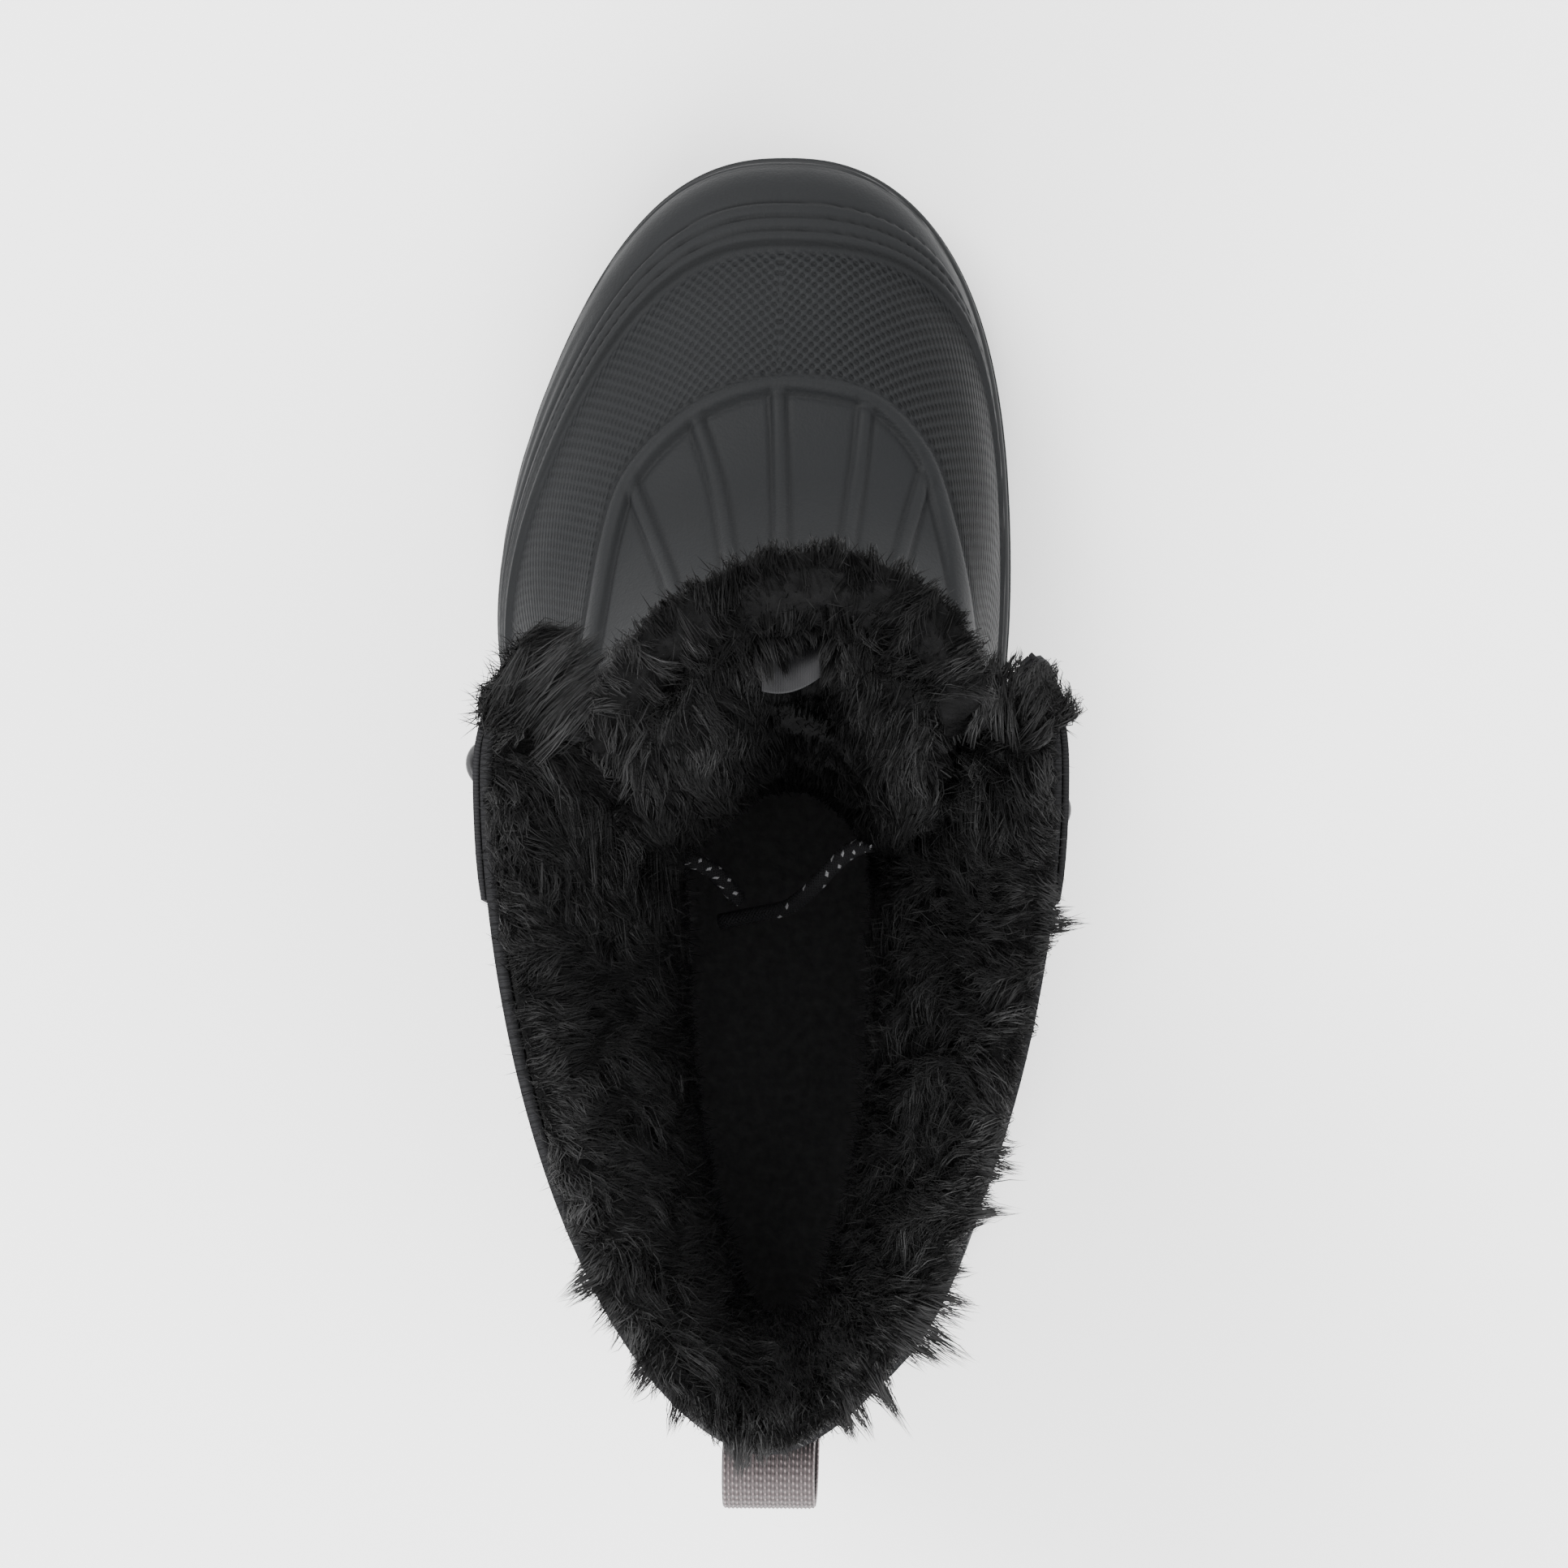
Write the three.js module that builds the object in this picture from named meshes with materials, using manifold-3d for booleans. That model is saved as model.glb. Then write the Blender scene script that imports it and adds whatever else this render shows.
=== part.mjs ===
// Winter boot for the left foot: a moulded sole and rubber shell below, a textile boot above,
// with deep pile round the collar and on the tongue.
// Millimetres. X runs to the inner side of the foot, Y to the toe and Z up.

import * as THREE from 'three';
import { ParametricGeometry } from 'three/addons/geometries/ParametricGeometry.js';
import * as BufferGeometryUtils from 'three/addons/utils/BufferGeometryUtils.js';
import Module from 'manifold-3d';

const wasm = await Module();
wasm.setup();

// Main sizes.
const footLength = 291.6;
const ballWidth = 116;
const collarWidth = 128;
const soleHeight = 30;
const instepHeight = 106;
const collarHeight = 216;
const collarDip = 5;
const gap = 0.35;

// Walls and layers.
const upperWall = 2.6;
const shellThickness = 2.7;
const insoleThickness = 5;
const insoleFit = 0.8;
const shellFit = 0.35;
const tonguePad = 5;
const tongueSlack = 0.9;

// Sole.
const treadDepth = 5;
const archRise = 7;
const toeSpring = 13;
const toeSpringLength = 62;
const lugLength = 11;
const lugPitch = 18;

// Tongue.
const tongueBottom = 92;
const tongueTop = 224;
const tongueWidth = 82;
const tongueFanRise = 68;

// Directions round a section: the toe is at a quarter turn, the inner side at zero.
const front = Math.PI / 2;
const turn = Math.PI * 2;

// Horizontal sections of the boot, from the feather line to the collar.
// foot, shaft: height as shares of feather line to instep, and of instep to collar.
// toe, wide, heel: front, widest place and back along Y, as shares of the foot length.
// ball, collar: half width as shares of the ball width and of the collar width.
// mid, tip, rear: centre line in X at the widest place, front and back, as shares of ball width.
// fall, blunt: how early and how bluntly the front half closes; back: roundness of the back half.
// waist: narrowing at the arch of the foot, as a share of the width.
const columns = ['foot', 'shaft', 'toe', 'wide', 'heel', 'ball', 'collar', 'mid', 'tip', 'rear',
  'fall', 'blunt', 'back', 'waist'];
const sections = [
  [0.000, 0.000, 0.500, 0.113, -0.500, 0.500, 0.000, -0.078, -0.009, 0.026, 1.95, 0.41, 2.20, 0.21],
  [0.079, 0.000, 0.498, 0.113, -0.504, 0.501, 0.000, -0.078, -0.009, 0.026, 1.95, 0.41, 2.20, 0.20],
  [0.158, 0.000, 0.484, 0.113, -0.506, 0.500, 0.000, -0.076, -0.009, 0.026, 1.95, 0.41, 2.20, 0.19],
  [0.224, 0.000, 0.450, 0.113, -0.507, 0.494, 0.000, -0.074, -0.009, 0.026, 1.97, 0.42, 2.20, 0.17],
  [0.276, 0.000, 0.418, 0.110, -0.507, 0.486, 0.000, -0.071, -0.009, 0.026, 2.00, 0.43, 2.20, 0.15],
  [0.329, 0.000, 0.377, 0.106, -0.507, 0.475, 0.000, -0.067, -0.009, 0.026, 2.03, 0.44, 2.20, 0.13],
  [0.382, 0.000, 0.333, 0.102, -0.506, 0.462, 0.000, -0.062, -0.009, 0.026, 2.06, 0.45, 2.20, 0.11],
  [0.447, 0.000, 0.284, 0.092, -0.504, 0.445, 0.000, -0.055, -0.007, 0.026, 2.08, 0.46, 2.20, 0.09],
  [0.539, 0.000, 0.238, 0.069, -0.501, 0.425, 0.000, -0.045, -0.005, 0.026, 2.10, 0.47, 2.20, 0.06],
  [0.671, 0.000, 0.199, 0.027, -0.496, 0.408, 0.000, -0.032, -0.002, 0.026, 2.10, 0.47, 2.20, 0.03],
  [0.816, 0.000, 0.168, -0.021, -0.490, 0.397, 0.000, -0.018, 0.000, 0.026, 2.10, 0.47, 2.18, 0.01],
  [1.000, 0.000, 0.137, -0.062, -0.482, 0.293, 0.089, 0.000, 0.002, 0.026, 2.10, 0.47, 2.14, 0.00],
  [1.000, 0.127, 0.099, -0.082, -0.475, 0.148, 0.221, 0.010, 0.008, 0.026, 2.15, 0.46, 2.10, 0.00],
  [1.000, 0.264, 0.067, -0.079, -0.469, 0.000, 0.367, 0.018, 0.018, 0.028, 2.20, 0.45, 2.05, 0.00],
  [1.000, 0.400, 0.048, -0.062, -0.467, 0.000, 0.387, 0.026, 0.026, 0.032, 2.20, 0.45, 2.00, 0.00],
  [1.000, 0.536, 0.051, -0.041, -0.469, 0.000, 0.414, 0.030, 0.034, 0.032, 2.25, 0.44, 1.95, 0.00],
  [1.000, 0.718, 0.086, -0.014, -0.476, 0.000, 0.457, 0.034, 0.042, 0.031, 2.30, 0.43, 1.90, 0.00],
  [1.000, 0.855, 0.120, 0.003, -0.483, 0.000, 0.480, 0.035, 0.048, 0.030, 2.40, 0.42, 1.85, 0.00],
  [1.000, 1.000, 0.168, 0.017, -0.490, 0.000, 0.500, 0.035, 0.052, 0.030, 2.50, 0.41, 1.80, 0.00],
];
const sectionHeights = sections.map((row) => soleHeight
  + row[0] * (instepHeight - soleHeight) + row[1] * (collarHeight - instepHeight));

// Smooth value of one column at a height.
function columnAt(name, height) {
  const column = columns.indexOf(name);
  const last = sections.length - 1;
  const z = Math.min(Math.max(height, sectionHeights[0]), sectionHeights[last]);
  let row = 0;
  while (row < last - 1 && z > sectionHeights[row + 1]) row += 1;
  const value = (index) => sections[Math.min(Math.max(index, 0), last)][column];
  const level = (index) => sectionHeights[Math.min(Math.max(index, 0), last)];
  const slope = (index) => (value(index + 1) - value(index - 1)) / (level(index + 1) - level(index - 1));
  const span = level(row + 1) - level(row);
  const t = (z - level(row)) / span;
  const t2 = t * t;
  const t3 = t2 * t;
  return (2 * t3 - 3 * t2 + 1) * value(row) + (t3 - 2 * t2 + t) * span * slope(row)
    + (3 * t2 - 2 * t3) * value(row + 1) + (t3 - t2) * span * slope(row + 1);
}

const sectionCache = new Map();

// All columns at a height, in millimetres where they are lengths.
function sectionAt(height) {
  if (!sectionCache.has(height)) {
    sectionCache.set(height, {
      toe: columnAt('toe', height) * footLength,
      wide: columnAt('wide', height) * footLength,
      heel: columnAt('heel', height) * footLength,
      half: columnAt('ball', height) * ballWidth + columnAt('collar', height) * collarWidth,
      mid: columnAt('mid', height) * ballWidth,
      tip: columnAt('tip', height) * ballWidth,
      rear: columnAt('rear', height) * ballWidth,
      fall: columnAt('fall', height),
      blunt: columnAt('blunt', height),
      back: columnAt('back', height),
      waist: columnAt('waist', height),
    });
  }
  return sectionCache.get(height);
}

// Point of the boot's outer form in a direction and at a height.
function formPoint(angle, height) {
  const s = sectionAt(height);
  const along = Math.sin(angle);
  const share = Math.min(Math.abs(along), 1);
  const ahead = along >= 0;
  const y = s.wide + along * (ahead ? s.toe - s.wide : s.wide - s.heel);
  const fall = ahead ? s.fall : s.back;
  const blunt = ahead ? s.blunt : 1 / s.back;
  const archPlace = -0.1 * footLength;
  const archSpan = 0.13 * footLength;
  const narrowing = 1 - s.waist * Math.exp(-(((y - archPlace) / archSpan) ** 2));
  const width = s.half * (1 - share ** fall) ** blunt * narrowing;
  const ease = share * share * (3 - 2 * share);
  const centre = s.mid + ((ahead ? s.tip : s.rear) - s.mid) * ease;
  return new THREE.Vector3(centre + Math.sign(Math.cos(angle)) * width, y, height);
}

// Outward direction of a surface given as a function of two values.
function outwardAt(surface, a, b, stepA, stepB) {
  const alongA = surface(a + stepA, b).sub(surface(a - stepA, b));
  const alongB = surface(a, b + stepB).sub(surface(a, b - stepB));
  return alongA.cross(alongB).normalize();
}

const skinStep = 0.01;
const heightStep = 0.4;

function formNormal(angle, height) {
  const top = collarHeight - heightStep;
  const level = Math.min(Math.max(height, soleHeight + heightStep), top);
  return outwardAt(formPoint, angle, level, skinStep, heightStep);
}

// Point a set distance outside the form, or inside it where the distance is negative.
function skinPoint(angle, height, outside) {
  return formPoint(angle, height).addScaledVector(formNormal(angle, height), outside);
}

// Height of the collar's edge: it dips at both sides.
function collarLine(angle) {
  return collarHeight - collarDip * Math.cos(angle) ** 2;
}

// Solid from a geometry whose faces already close, with stray triangles dropped.
function solidOf(geometry) {
  const bare = geometry.clone();
  bare.deleteAttribute('normal');
  bare.deleteAttribute('uv');
  const merged = BufferGeometryUtils.mergeVertices(bare, 1e-3);
  const places = merged.getAttribute('position').array;
  const index = merged.getIndex().array;
  const kept = [];
  let volume = 0;
  const a = new THREE.Vector3();
  const b = new THREE.Vector3();
  const c = new THREE.Vector3();
  for (let i = 0; i < index.length; i += 3) {
    const [p, q, r] = [index[i], index[i + 1], index[i + 2]];
    if (p === q || q === r || r === p) continue;
    kept.push(p, q, r);
    a.fromArray(places, 3 * p);
    b.fromArray(places, 3 * q);
    c.fromArray(places, 3 * r);
    volume += a.dot(b.cross(c));
  }
  if (volume < 0) kept.reverse();
  return new wasm.Manifold(new wasm.Mesh({
    numProp: 3,
    vertProperties: new Float32Array(places),
    triVerts: new Uint32Array(kept),
  }));
}

function geometryOf(solid) {
  const mesh = solid.getMesh();
  const geometry = new THREE.BufferGeometry();
  geometry.setAttribute('position', new THREE.BufferAttribute(mesh.vertProperties, 3));
  geometry.setIndex(new THREE.BufferAttribute(mesh.triVerts, 1));
  geometry.computeVertexNormals();
  return geometry;
}

// Closed body whose section goes once round a loop: place(u, k) with k a corner of the loop.
function ringSolid(place, slices, corners) {
  const surface = (u, v, target) => {
    const corner = Math.round(v * corners) % corners;
    target.copy(place((Math.round(u * slices) % slices) / slices, corner));
  };
  return solidOf(new ParametricGeometry(surface, slices, corners));
}

// Body whose rows go once round and whose first and last rows fold flat onto a middle line.
function foldedSolid(place, slices, rows) {
  const surface = (u, v, target) => {
    target.copy(place((Math.round(u * slices) % slices) / slices, Math.round(v * (rows - 1))));
  };
  return solidOf(new ParametricGeometry(surface, slices, rows - 1));
}

// Faces that close an end of a sweep, from the ring's first and last corners inwards.
function endFaces(ring, facingBack) {
  const places = [];
  let low = 0;
  let high = ring.length - 1;
  while (high - low > 1) {
    const fromLow = ring[low + 1].distanceTo(ring[high]) < ring[low].distanceTo(ring[high - 1]);
    const face = [ring[low], ring[fromLow ? low + 1 : high - 1], ring[high]];
    if (facingBack) face.reverse();
    for (const point of face) places.push(...point.toArray());
    if (fromLow) low += 1;
    else high -= 1;
  }
  return places;
}

// Body swept from u = 0 to u = 1 with closed ends. outline holds the section's corners as
// Vector2, and place(u, corner) puts a corner in space.
function sweptSolid(place, outline, slices) {
  const corners = outline.length;
  const surface = (u, v, target) => {
    target.copy(place(u, outline[Math.round(v * corners) % corners]));
  };
  const side = new ParametricGeometry(surface, slices, corners).toNonIndexed();
  side.deleteAttribute('normal');
  side.deleteAttribute('uv');
  const places = [0, 1].flatMap((u) => endFaces(outline.map((corner) => place(u, corner)), u === 1));
  const ends = new THREE.BufferGeometry();
  ends.setAttribute('position', new THREE.Float32BufferAttribute(places, 3));
  return solidOf(BufferGeometryUtils.mergeGeometries([side, ends]));
}

// Round bar along a list of points.
function barSolid(points, radius, steps, sides) {
  const section = new THREE.Shape();
  for (let k = 0; k < sides; k += 1) {
    const angle = turn * k / sides;
    const x = radius * Math.cos(angle);
    const y = radius * Math.sin(angle);
    if (k === 0) section.moveTo(x, y);
    else section.lineTo(x, y);
  }
  const path = new THREE.CatmullRomCurve3(points, false, 'centripetal');
  return solidOf(new THREE.ExtrudeGeometry(section, { steps, extrudePath: path }));
}

// Prism through a list of corners: corners in X and Z along Y, or in Y and Z along X.
function prismSolid(corners, axis, from, to) {
  const shape = new THREE.Shape(corners.map(([a, b]) => new THREE.Vector2(a, b)));
  const geometry = new THREE.ExtrudeGeometry(shape, { depth: to - from, bevelEnabled: false });
  const basis = new THREE.Matrix4();
  if (axis === 'y') basis.set(1, 0, 0, 0, 0, 0, 1, from, 0, 1, 0, 0, 0, 0, 0, 1);
  else basis.set(0, 0, 1, from, 1, 0, 0, 0, 0, 1, 0, 0, 0, 0, 0, 1);
  return solidOf(geometry.applyMatrix4(basis));
}

// Largest body of a cut solid, after its corners have been rounded as the finished mesh's are.
function mainBody(solid) {
  const largest = (whole) => whole.decompose().sort((a, b) => b.volume() - a.volume())[0];
  return largest(solidOf(geometryOf(largest(solid).simplify(0.02))));
}

function joined(solids) {
  return solids.reduce((whole, solid) => whole.add(solid));
}

function smoothShare(value, from, to) {
  const share = Math.min(Math.max((value - from) / (to - from), 0), 1);
  return share * share * (3 - 2 * share);
}

function materialOf(color, roughness) {
  return new THREE.MeshStandardMaterial({ color, roughness, metalness: 0 });
}

const rubber = materialOf('#3b3c3e', 0.62);
const nylon = materialOf('#1c1c1d', 0.85);
const pile = materialOf('#161617', 0.95);
const felt = materialOf('#1a1a1b', 0.95);
const webbing = materialOf('#242425', 0.9);
const mauveWebbing = materialOf('#655c5c', 0.85);
const plastic = materialOf('#141415', 0.45);
const cordBlack = materialOf('#18181a', 0.8);
const satin = materialOf('#4a4b4d', 0.5);

const boot = new THREE.Group();

function addPiece(name, solid, material) {
  const mesh = new THREE.Mesh(geometryOf(solid), material);
  mesh.name = name;
  boot.add(mesh);
}

// Upper: one hollow textile body, open at the collar, at the throat and underneath.
const upperBase = soleHeight + gap;
const upperRises = [0, 0.06, 0.105, 0.15, 0.2, 0.27, 0.37, 0.48, 0.6, 0.73, 0.87, 1];
const wallSlices = 36;

function wallHeight(angle, rise) {
  return upperBase + rise * (collarLine(angle) - upperBase);
}

// Closed wall round the whole boot between two distances from the form.
function wallRing(outerOffset, innerOffset) {
  const rows = upperRises.length;
  const place = (share, corner) => {
    const angle = share * turn;
    const inside = corner >= rows;
    const rise = upperRises[inside ? 2 * rows - 1 - corner : corner];
    const height = wallHeight(angle, rise);
    const point = skinPoint(angle, height, inside ? innerOffset : outerOffset);
    if (rise === 0 || rise === 1) point.z = height;
    return point;
  };
  return ringSolid(place, wallSlices, 2 * rows);
}

// Everything within a distance of the form's face, for cutting what lies on it.
function formCore(outside) {
  return wallRing(outside, -upperWall - 12);
}

// Throat: the front opening, narrow above the vamp and wide at the collar.
// Height as a share of instep to collar, then both sides in X as shares of the collar width.
const throatSides = [
  [0.05, -0.19, 0.17],
  [0.27, -0.27, 0.28],
  [0.40, -0.32, 0.35],
  [0.54, -0.36, 0.40],
  [0.72, -0.38, 0.45],
  [1.00, -0.37, 0.47],
  [1.30, -0.37, 0.47],
];
const throatFloor = [0.10, -0.12];
const throatHeight = (share) => instepHeight + share * (collarHeight - instepHeight);
const throatCorners = [
  ...throatSides.map(([rise, left]) => [left * collarWidth, throatHeight(rise)]),
  ...throatSides.map(([rise, , right]) => [right * collarWidth, throatHeight(rise)]).reverse(),
  ...throatFloor.map((side) => [side * collarWidth, instepHeight]),
];
const throat = prismSolid(throatCorners, 'y', -0.09 * footLength, 0.6 * footLength);
addPiece('upper', wallRing(0, -upperWall).subtract(throat), nylon);

// Sole: flat top, stepped side, arched bottom with lugs, and a toe that curves up.
// Side of the sole from top to bottom: share of its height, and distance outside the shell.
const soleSide = [
  [1.00, 0.4],
  [0.95, 1.2],
  [0.84, 1.2],
  [0.79, 0.2],
  [0.73, 1.1],
  [0.38, 0.7],
  [0.35, 1.5],
  [0.00, -1.5],
];
const shellOuter = gap + shellThickness;
const soleSlices = 36;
const crossings = [0, 0.5, 1];

// Height of the sole's underside between its lugs: it rises under the arch of the foot.
function undersideAt(y) {
  const place = -0.135 * footLength;
  const span = 0.1 * footLength;
  return treadDepth + archRise * Math.exp(-(((y - place) / span) ** 4));
}

// Point across the boot's plan: at its edge where crossing is 1 and on its middle line at 0.
function planPoint(angle, height, outside, crossing) {
  const edge = skinPoint(angle, height, outside);
  const other = skinPoint(Math.PI - angle, height, outside);
  const middle = (edge.x + other.x) / 2;
  return new THREE.Vector3(middle + crossing * (edge.x - middle), (edge.y + other.y) / 2, height);
}

function soleBody() {
  const fold = crossings.length;
  const rows = soleSide.length + 2 * (fold - 1);
  const place = (share, row) => {
    const angle = share * turn;
    const side = Math.min(Math.max(row - fold + 1, 0), soleSide.length - 1);
    const crossing = Math.min(row, rows - 1 - row, fold - 1);
    const [level, outside] = soleSide[side];
    const point = planPoint(angle, soleHeight, shellOuter + outside, crossings[crossing]);
    const underside = undersideAt(point.y);
    point.z = underside + level * (soleHeight - underside);
    return point;
  };
  return foldedSolid(place, soleSlices, rows);
}

// Plain slab with the sole's outline, for trimming the lugs.
function soleSlab(outside, low, high) {
  const place = (share, row) => {
    const crossing = row === 0 || row === 3 ? 0 : 1;
    const point = planPoint(share * turn, soleHeight, shellOuter + outside, crossing);
    point.z = row < 2 ? high : low;
    return point;
  };
  return foldedSolid(place, soleSlices, 4);
}

// Middle and half width of the sole at a place along the foot.
function planAt(y) {
  const s = sectionAt(soleHeight);
  const share = y > s.wide ? (y - s.wide) / (s.toe - s.wide) : (y - s.wide) / (s.wide - s.heel);
  const angle = Math.asin(Math.min(Math.max(share, -1), 1));
  const right = formPoint(angle, soleHeight);
  const left = formPoint(Math.PI - angle, soleHeight);
  return { middle: (left.x + right.x) / 2, half: (right.x - left.x) / 2 };
}

function lugAt(x, y, width, length, lean) {
  const height = Math.max(undersideAt(y - lugLength), undersideAt(y + lugLength)) + 1.2;
  const box = new THREE.BoxGeometry(width, length, height);
  box.rotateZ(lean);
  box.translate(x, y, height / 2);
  return solidOf(box);
}

// Lugs: three to a row under the ball of the foot, two to a row under the heel.
const ballRows = [-0.02, 0.43];
const heelRows = [-0.455, -0.27];
const lugLean = 0.2;
const lugChannel = 5;

function soleLugs() {
  const lugs = [];
  const rowsIn = ([from, to]) => Math.round((to - from) * footLength / lugPitch);
  const placeIn = ([from], row) => from * footLength + row * lugPitch;
  for (let row = 0; row <= rowsIn(ballRows); row += 1) {
    const y = placeIn(ballRows, row);
    const { middle, half } = planAt(y);
    const core = 0.36 * half;
    const reach = half + shellOuter + 4;
    const wing = reach - core - lugChannel;
    lugs.push(lugAt(middle, y, 2 * core, lugLength, 0));
    lugs.push(lugAt(middle - core - lugChannel - wing / 2, y - 3, wing, lugLength, lugLean));
    lugs.push(lugAt(middle + core + lugChannel + wing / 2, y - 3, wing, lugLength, -lugLean));
  }
  for (let row = 0; row <= rowsIn(heelRows); row += 1) {
    const y = placeIn(heelRows, row);
    const { middle, half } = planAt(y);
    const wing = half + shellOuter + 4 - lugChannel / 2;
    for (const side of [-1, 1]) {
      lugs.push(lugAt(middle + side * (lugChannel + wing) / 2, y, wing, lugLength, 0));
    }
  }
  return joined(lugs).intersect(soleSlab(0.5, -1, treadDepth + archRise));
}

// Bends the sole's toe up, most at the ground and not at all at the feather line.
function sprung(solid) {
  const start = 0.5 * footLength + shellOuter - toeSpringLength;
  return solid.warp((point) => {
    const share = Math.max(0, (point[1] - start) / toeSpringLength);
    point[2] += toeSpring * share * share * (1 - point[2] / soleHeight);
  });
}
addPiece('outsole', sprung(soleBody().add(soleLugs())), rubber);

// Insole: lies on the sole inside the upper, with a slightly cupped edge.
const insoleCup = 1;

function insoleBody() {
  const rows = 2 * crossings.length;
  const place = (share, row) => {
    const crossing = crossings[Math.min(row, rows - 1 - row)];
    const top = row < rows / 2;
    const cup = top ? insoleCup * crossing ** 4 : 0;
    const height = upperBase + (top ? insoleThickness + cup : 0);
    const point = planPoint(share * turn, height, -(upperWall + insoleFit), crossing);
    point.z = height;
    return point;
  };
  return foldedSolid(place, soleSlices, rows);
}
addPiece('insole', mainBody(insoleBody().subtract(wallRing(3, -upperWall - gap))), felt);

// Tongue: lies inside the throat and leans out through it at the top.
const tongueSpread = [0.62, 1.12];
const leanStart = 0.45;
const leanTop = { x: 8, y: 14, depth: 35, skew: 0.13, sweep: 1.5 };

// Point of the tongue's outer face: across runs from -1 at its left edge to 1 at its right.
function tongueFace(across, height) {
  const spread = tongueSpread[0] + (tongueSpread[1] - tongueSpread[0])
    * smoothShare(height, tongueBottom, tongueBottom + tongueFanRise);
  const hugging = skinPoint(front - across * spread, height, -(upperWall + tongueSlack));
  const x = leanTop.x + tongueWidth / 2 * Math.sin(leanTop.sweep * across);
  const y = leanTop.y + leanTop.depth * Math.cos(leanTop.sweep * across)
    + leanTop.skew * (x - leanTop.x);
  const start = throatHeight(leanStart);
  const lean = Math.max(0, (height - start) / (tongueTop - start)) ** 1.4;
  return hugging.lerp(new THREE.Vector3(x, y, height), lean).setZ(height);
}

function tonguePoint(across, height, depth) {
  const inward = outwardAt(tongueFace, across, height, 0.01, 0.5);
  return tongueFace(across, height).addScaledVector(inward, depth);
}

const tongueRows = [0, 0.12, 0.24, 0.36, 0.48, 0.6, 0.72, 0.82, 0.92, 1];
const tongueOutline = [
  ...tongueRows.map((rise) => new THREE.Vector2(0, rise)),
  ...tongueRows.map((rise) => new THREE.Vector2(1, rise)).reverse(),
];
const tongueSlices = 10;

function tongueBody(swell) {
  const place = (share, corner) => {
    const across = (2 * share - 1) * (1 + 2 * swell / tongueWidth);
    const edge = 0.4 + 0.6 * Math.sqrt(Math.max(0, 1 - across ** 6));
    const rise = corner.y + (corner.y === 1 ? swell : 0) / (tongueTop - tongueBottom);
    const height = tongueBottom + rise * (tongueTop - tongueBottom);
    const depth = corner.x * (tonguePad * edge + 2 * swell) - swell;
    return tonguePoint(across, height, depth);
  };
  return sweptSolid(place, tongueOutline, tongueSlices);
}
const wallRoom = wallRing(2, -upperWall - gap).subtract(throat);
addPiece('tongue', mainBody(tongueBody(0).subtract(wallRoom)), nylon);

// Rubber shell: moulded over the lower boot. Toe bumper rings run into the side band, and above
// them the woven field lies a step lower.
// Rows from the bottom up: height as a share of feather line to instep, and relief.
const shellRelief = [
  [0.000, 0.5],
  [0.050, 0.9],
  [0.068, 0.2],
  [0.086, 0.9],
  [0.178, 0.6],
  [0.188, 0.1],
  [0.200, 0.8],
  [0.212, 0.1],
  [0.226, 0.8],
  [0.245, -0.4],
  [0.340, -0.4],
  [0.450, -0.4],
  [0.620, -0.4],
  [0.820, -0.4],
  [1.030, -0.4],
];
const shellInner = [1.030, 0.560, 0.300, 0.150, 0.000];
const bandShare = 0.262;
const bandShift = { outerSide: 0.045, innerSide: -0.115 };

// The bumper band rides higher on the outer side of the foot and lower on the inner side.
function shellHeight(angle, level) {
  const below = Math.min(level / bandShare, 1) ** 0.8;
  const above = Math.max(0, 1 - Math.max(0, level - bandShare) / 0.35) ** 1.3;
  const side = Math.cos(angle);
  const shift = (side < 0 ? bandShift.outerSide : bandShift.innerSide) * side * side;
  return upperBase + (level + shift * below * above) * (instepHeight - soleHeight);
}

function shellBody() {
  const rows = shellRelief.length;
  const place = (share, corner) => {
    const angle = share * turn;
    const outside = corner < rows;
    const level = outside ? shellRelief[corner][0] : shellInner[corner - rows];
    const height = shellHeight(angle, level);
    const offset = outside ? shellOuter + shellRelief[corner][1] - 0.5 : -upperWall;
    const point = skinPoint(angle, height, offset);
    if (level === 0) point.z = height;
    return point;
  };
  return ringSolid(place, wallSlices, rows + shellInner.length);
}

// Is a place in plan inside the form's section at this height?
function insideForm(x, y, height) {
  const s = sectionAt(height);
  const share = y > s.wide ? (y - s.wide) / (s.toe - s.wide) : (y - s.wide) / (s.wide - s.heel);
  if (Math.abs(share) >= 1) return false;
  const angle = Math.asin(share);
  return x < formPoint(angle, height).x && x > formPoint(Math.PI - angle, height).x;
}

// Point a set distance outside the form, straight above a place in plan.
function pointAbove(x, y, outside) {
  let shift = new THREE.Vector3();
  let height = soleHeight;
  for (let pass = 0; pass < 3; pass += 1) {
    const planX = x - shift.x;
    const planY = y - shift.y;
    let low = soleHeight + 1;
    let high = throatHeight(0.3);
    for (let step = 0; step < 24; step += 1) {
      height = (low + high) / 2;
      if (insideForm(planX, planY, height)) low = height;
      else high = height;
    }
    const s = sectionAt(height);
    const run = planY > s.wide ? s.toe - s.wide : s.wide - s.heel;
    const angle = Math.asin(Math.min(Math.max((planY - s.wide) / run, -1), 1));
    const middle = (formPoint(angle, height).x + formPoint(Math.PI - angle, height).x) / 2;
    shift = formNormal(planX > middle ? angle : Math.PI - angle, height).multiplyScalar(outside);
  }
  return new THREE.Vector3(x, y, height + shift.z);
}

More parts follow.
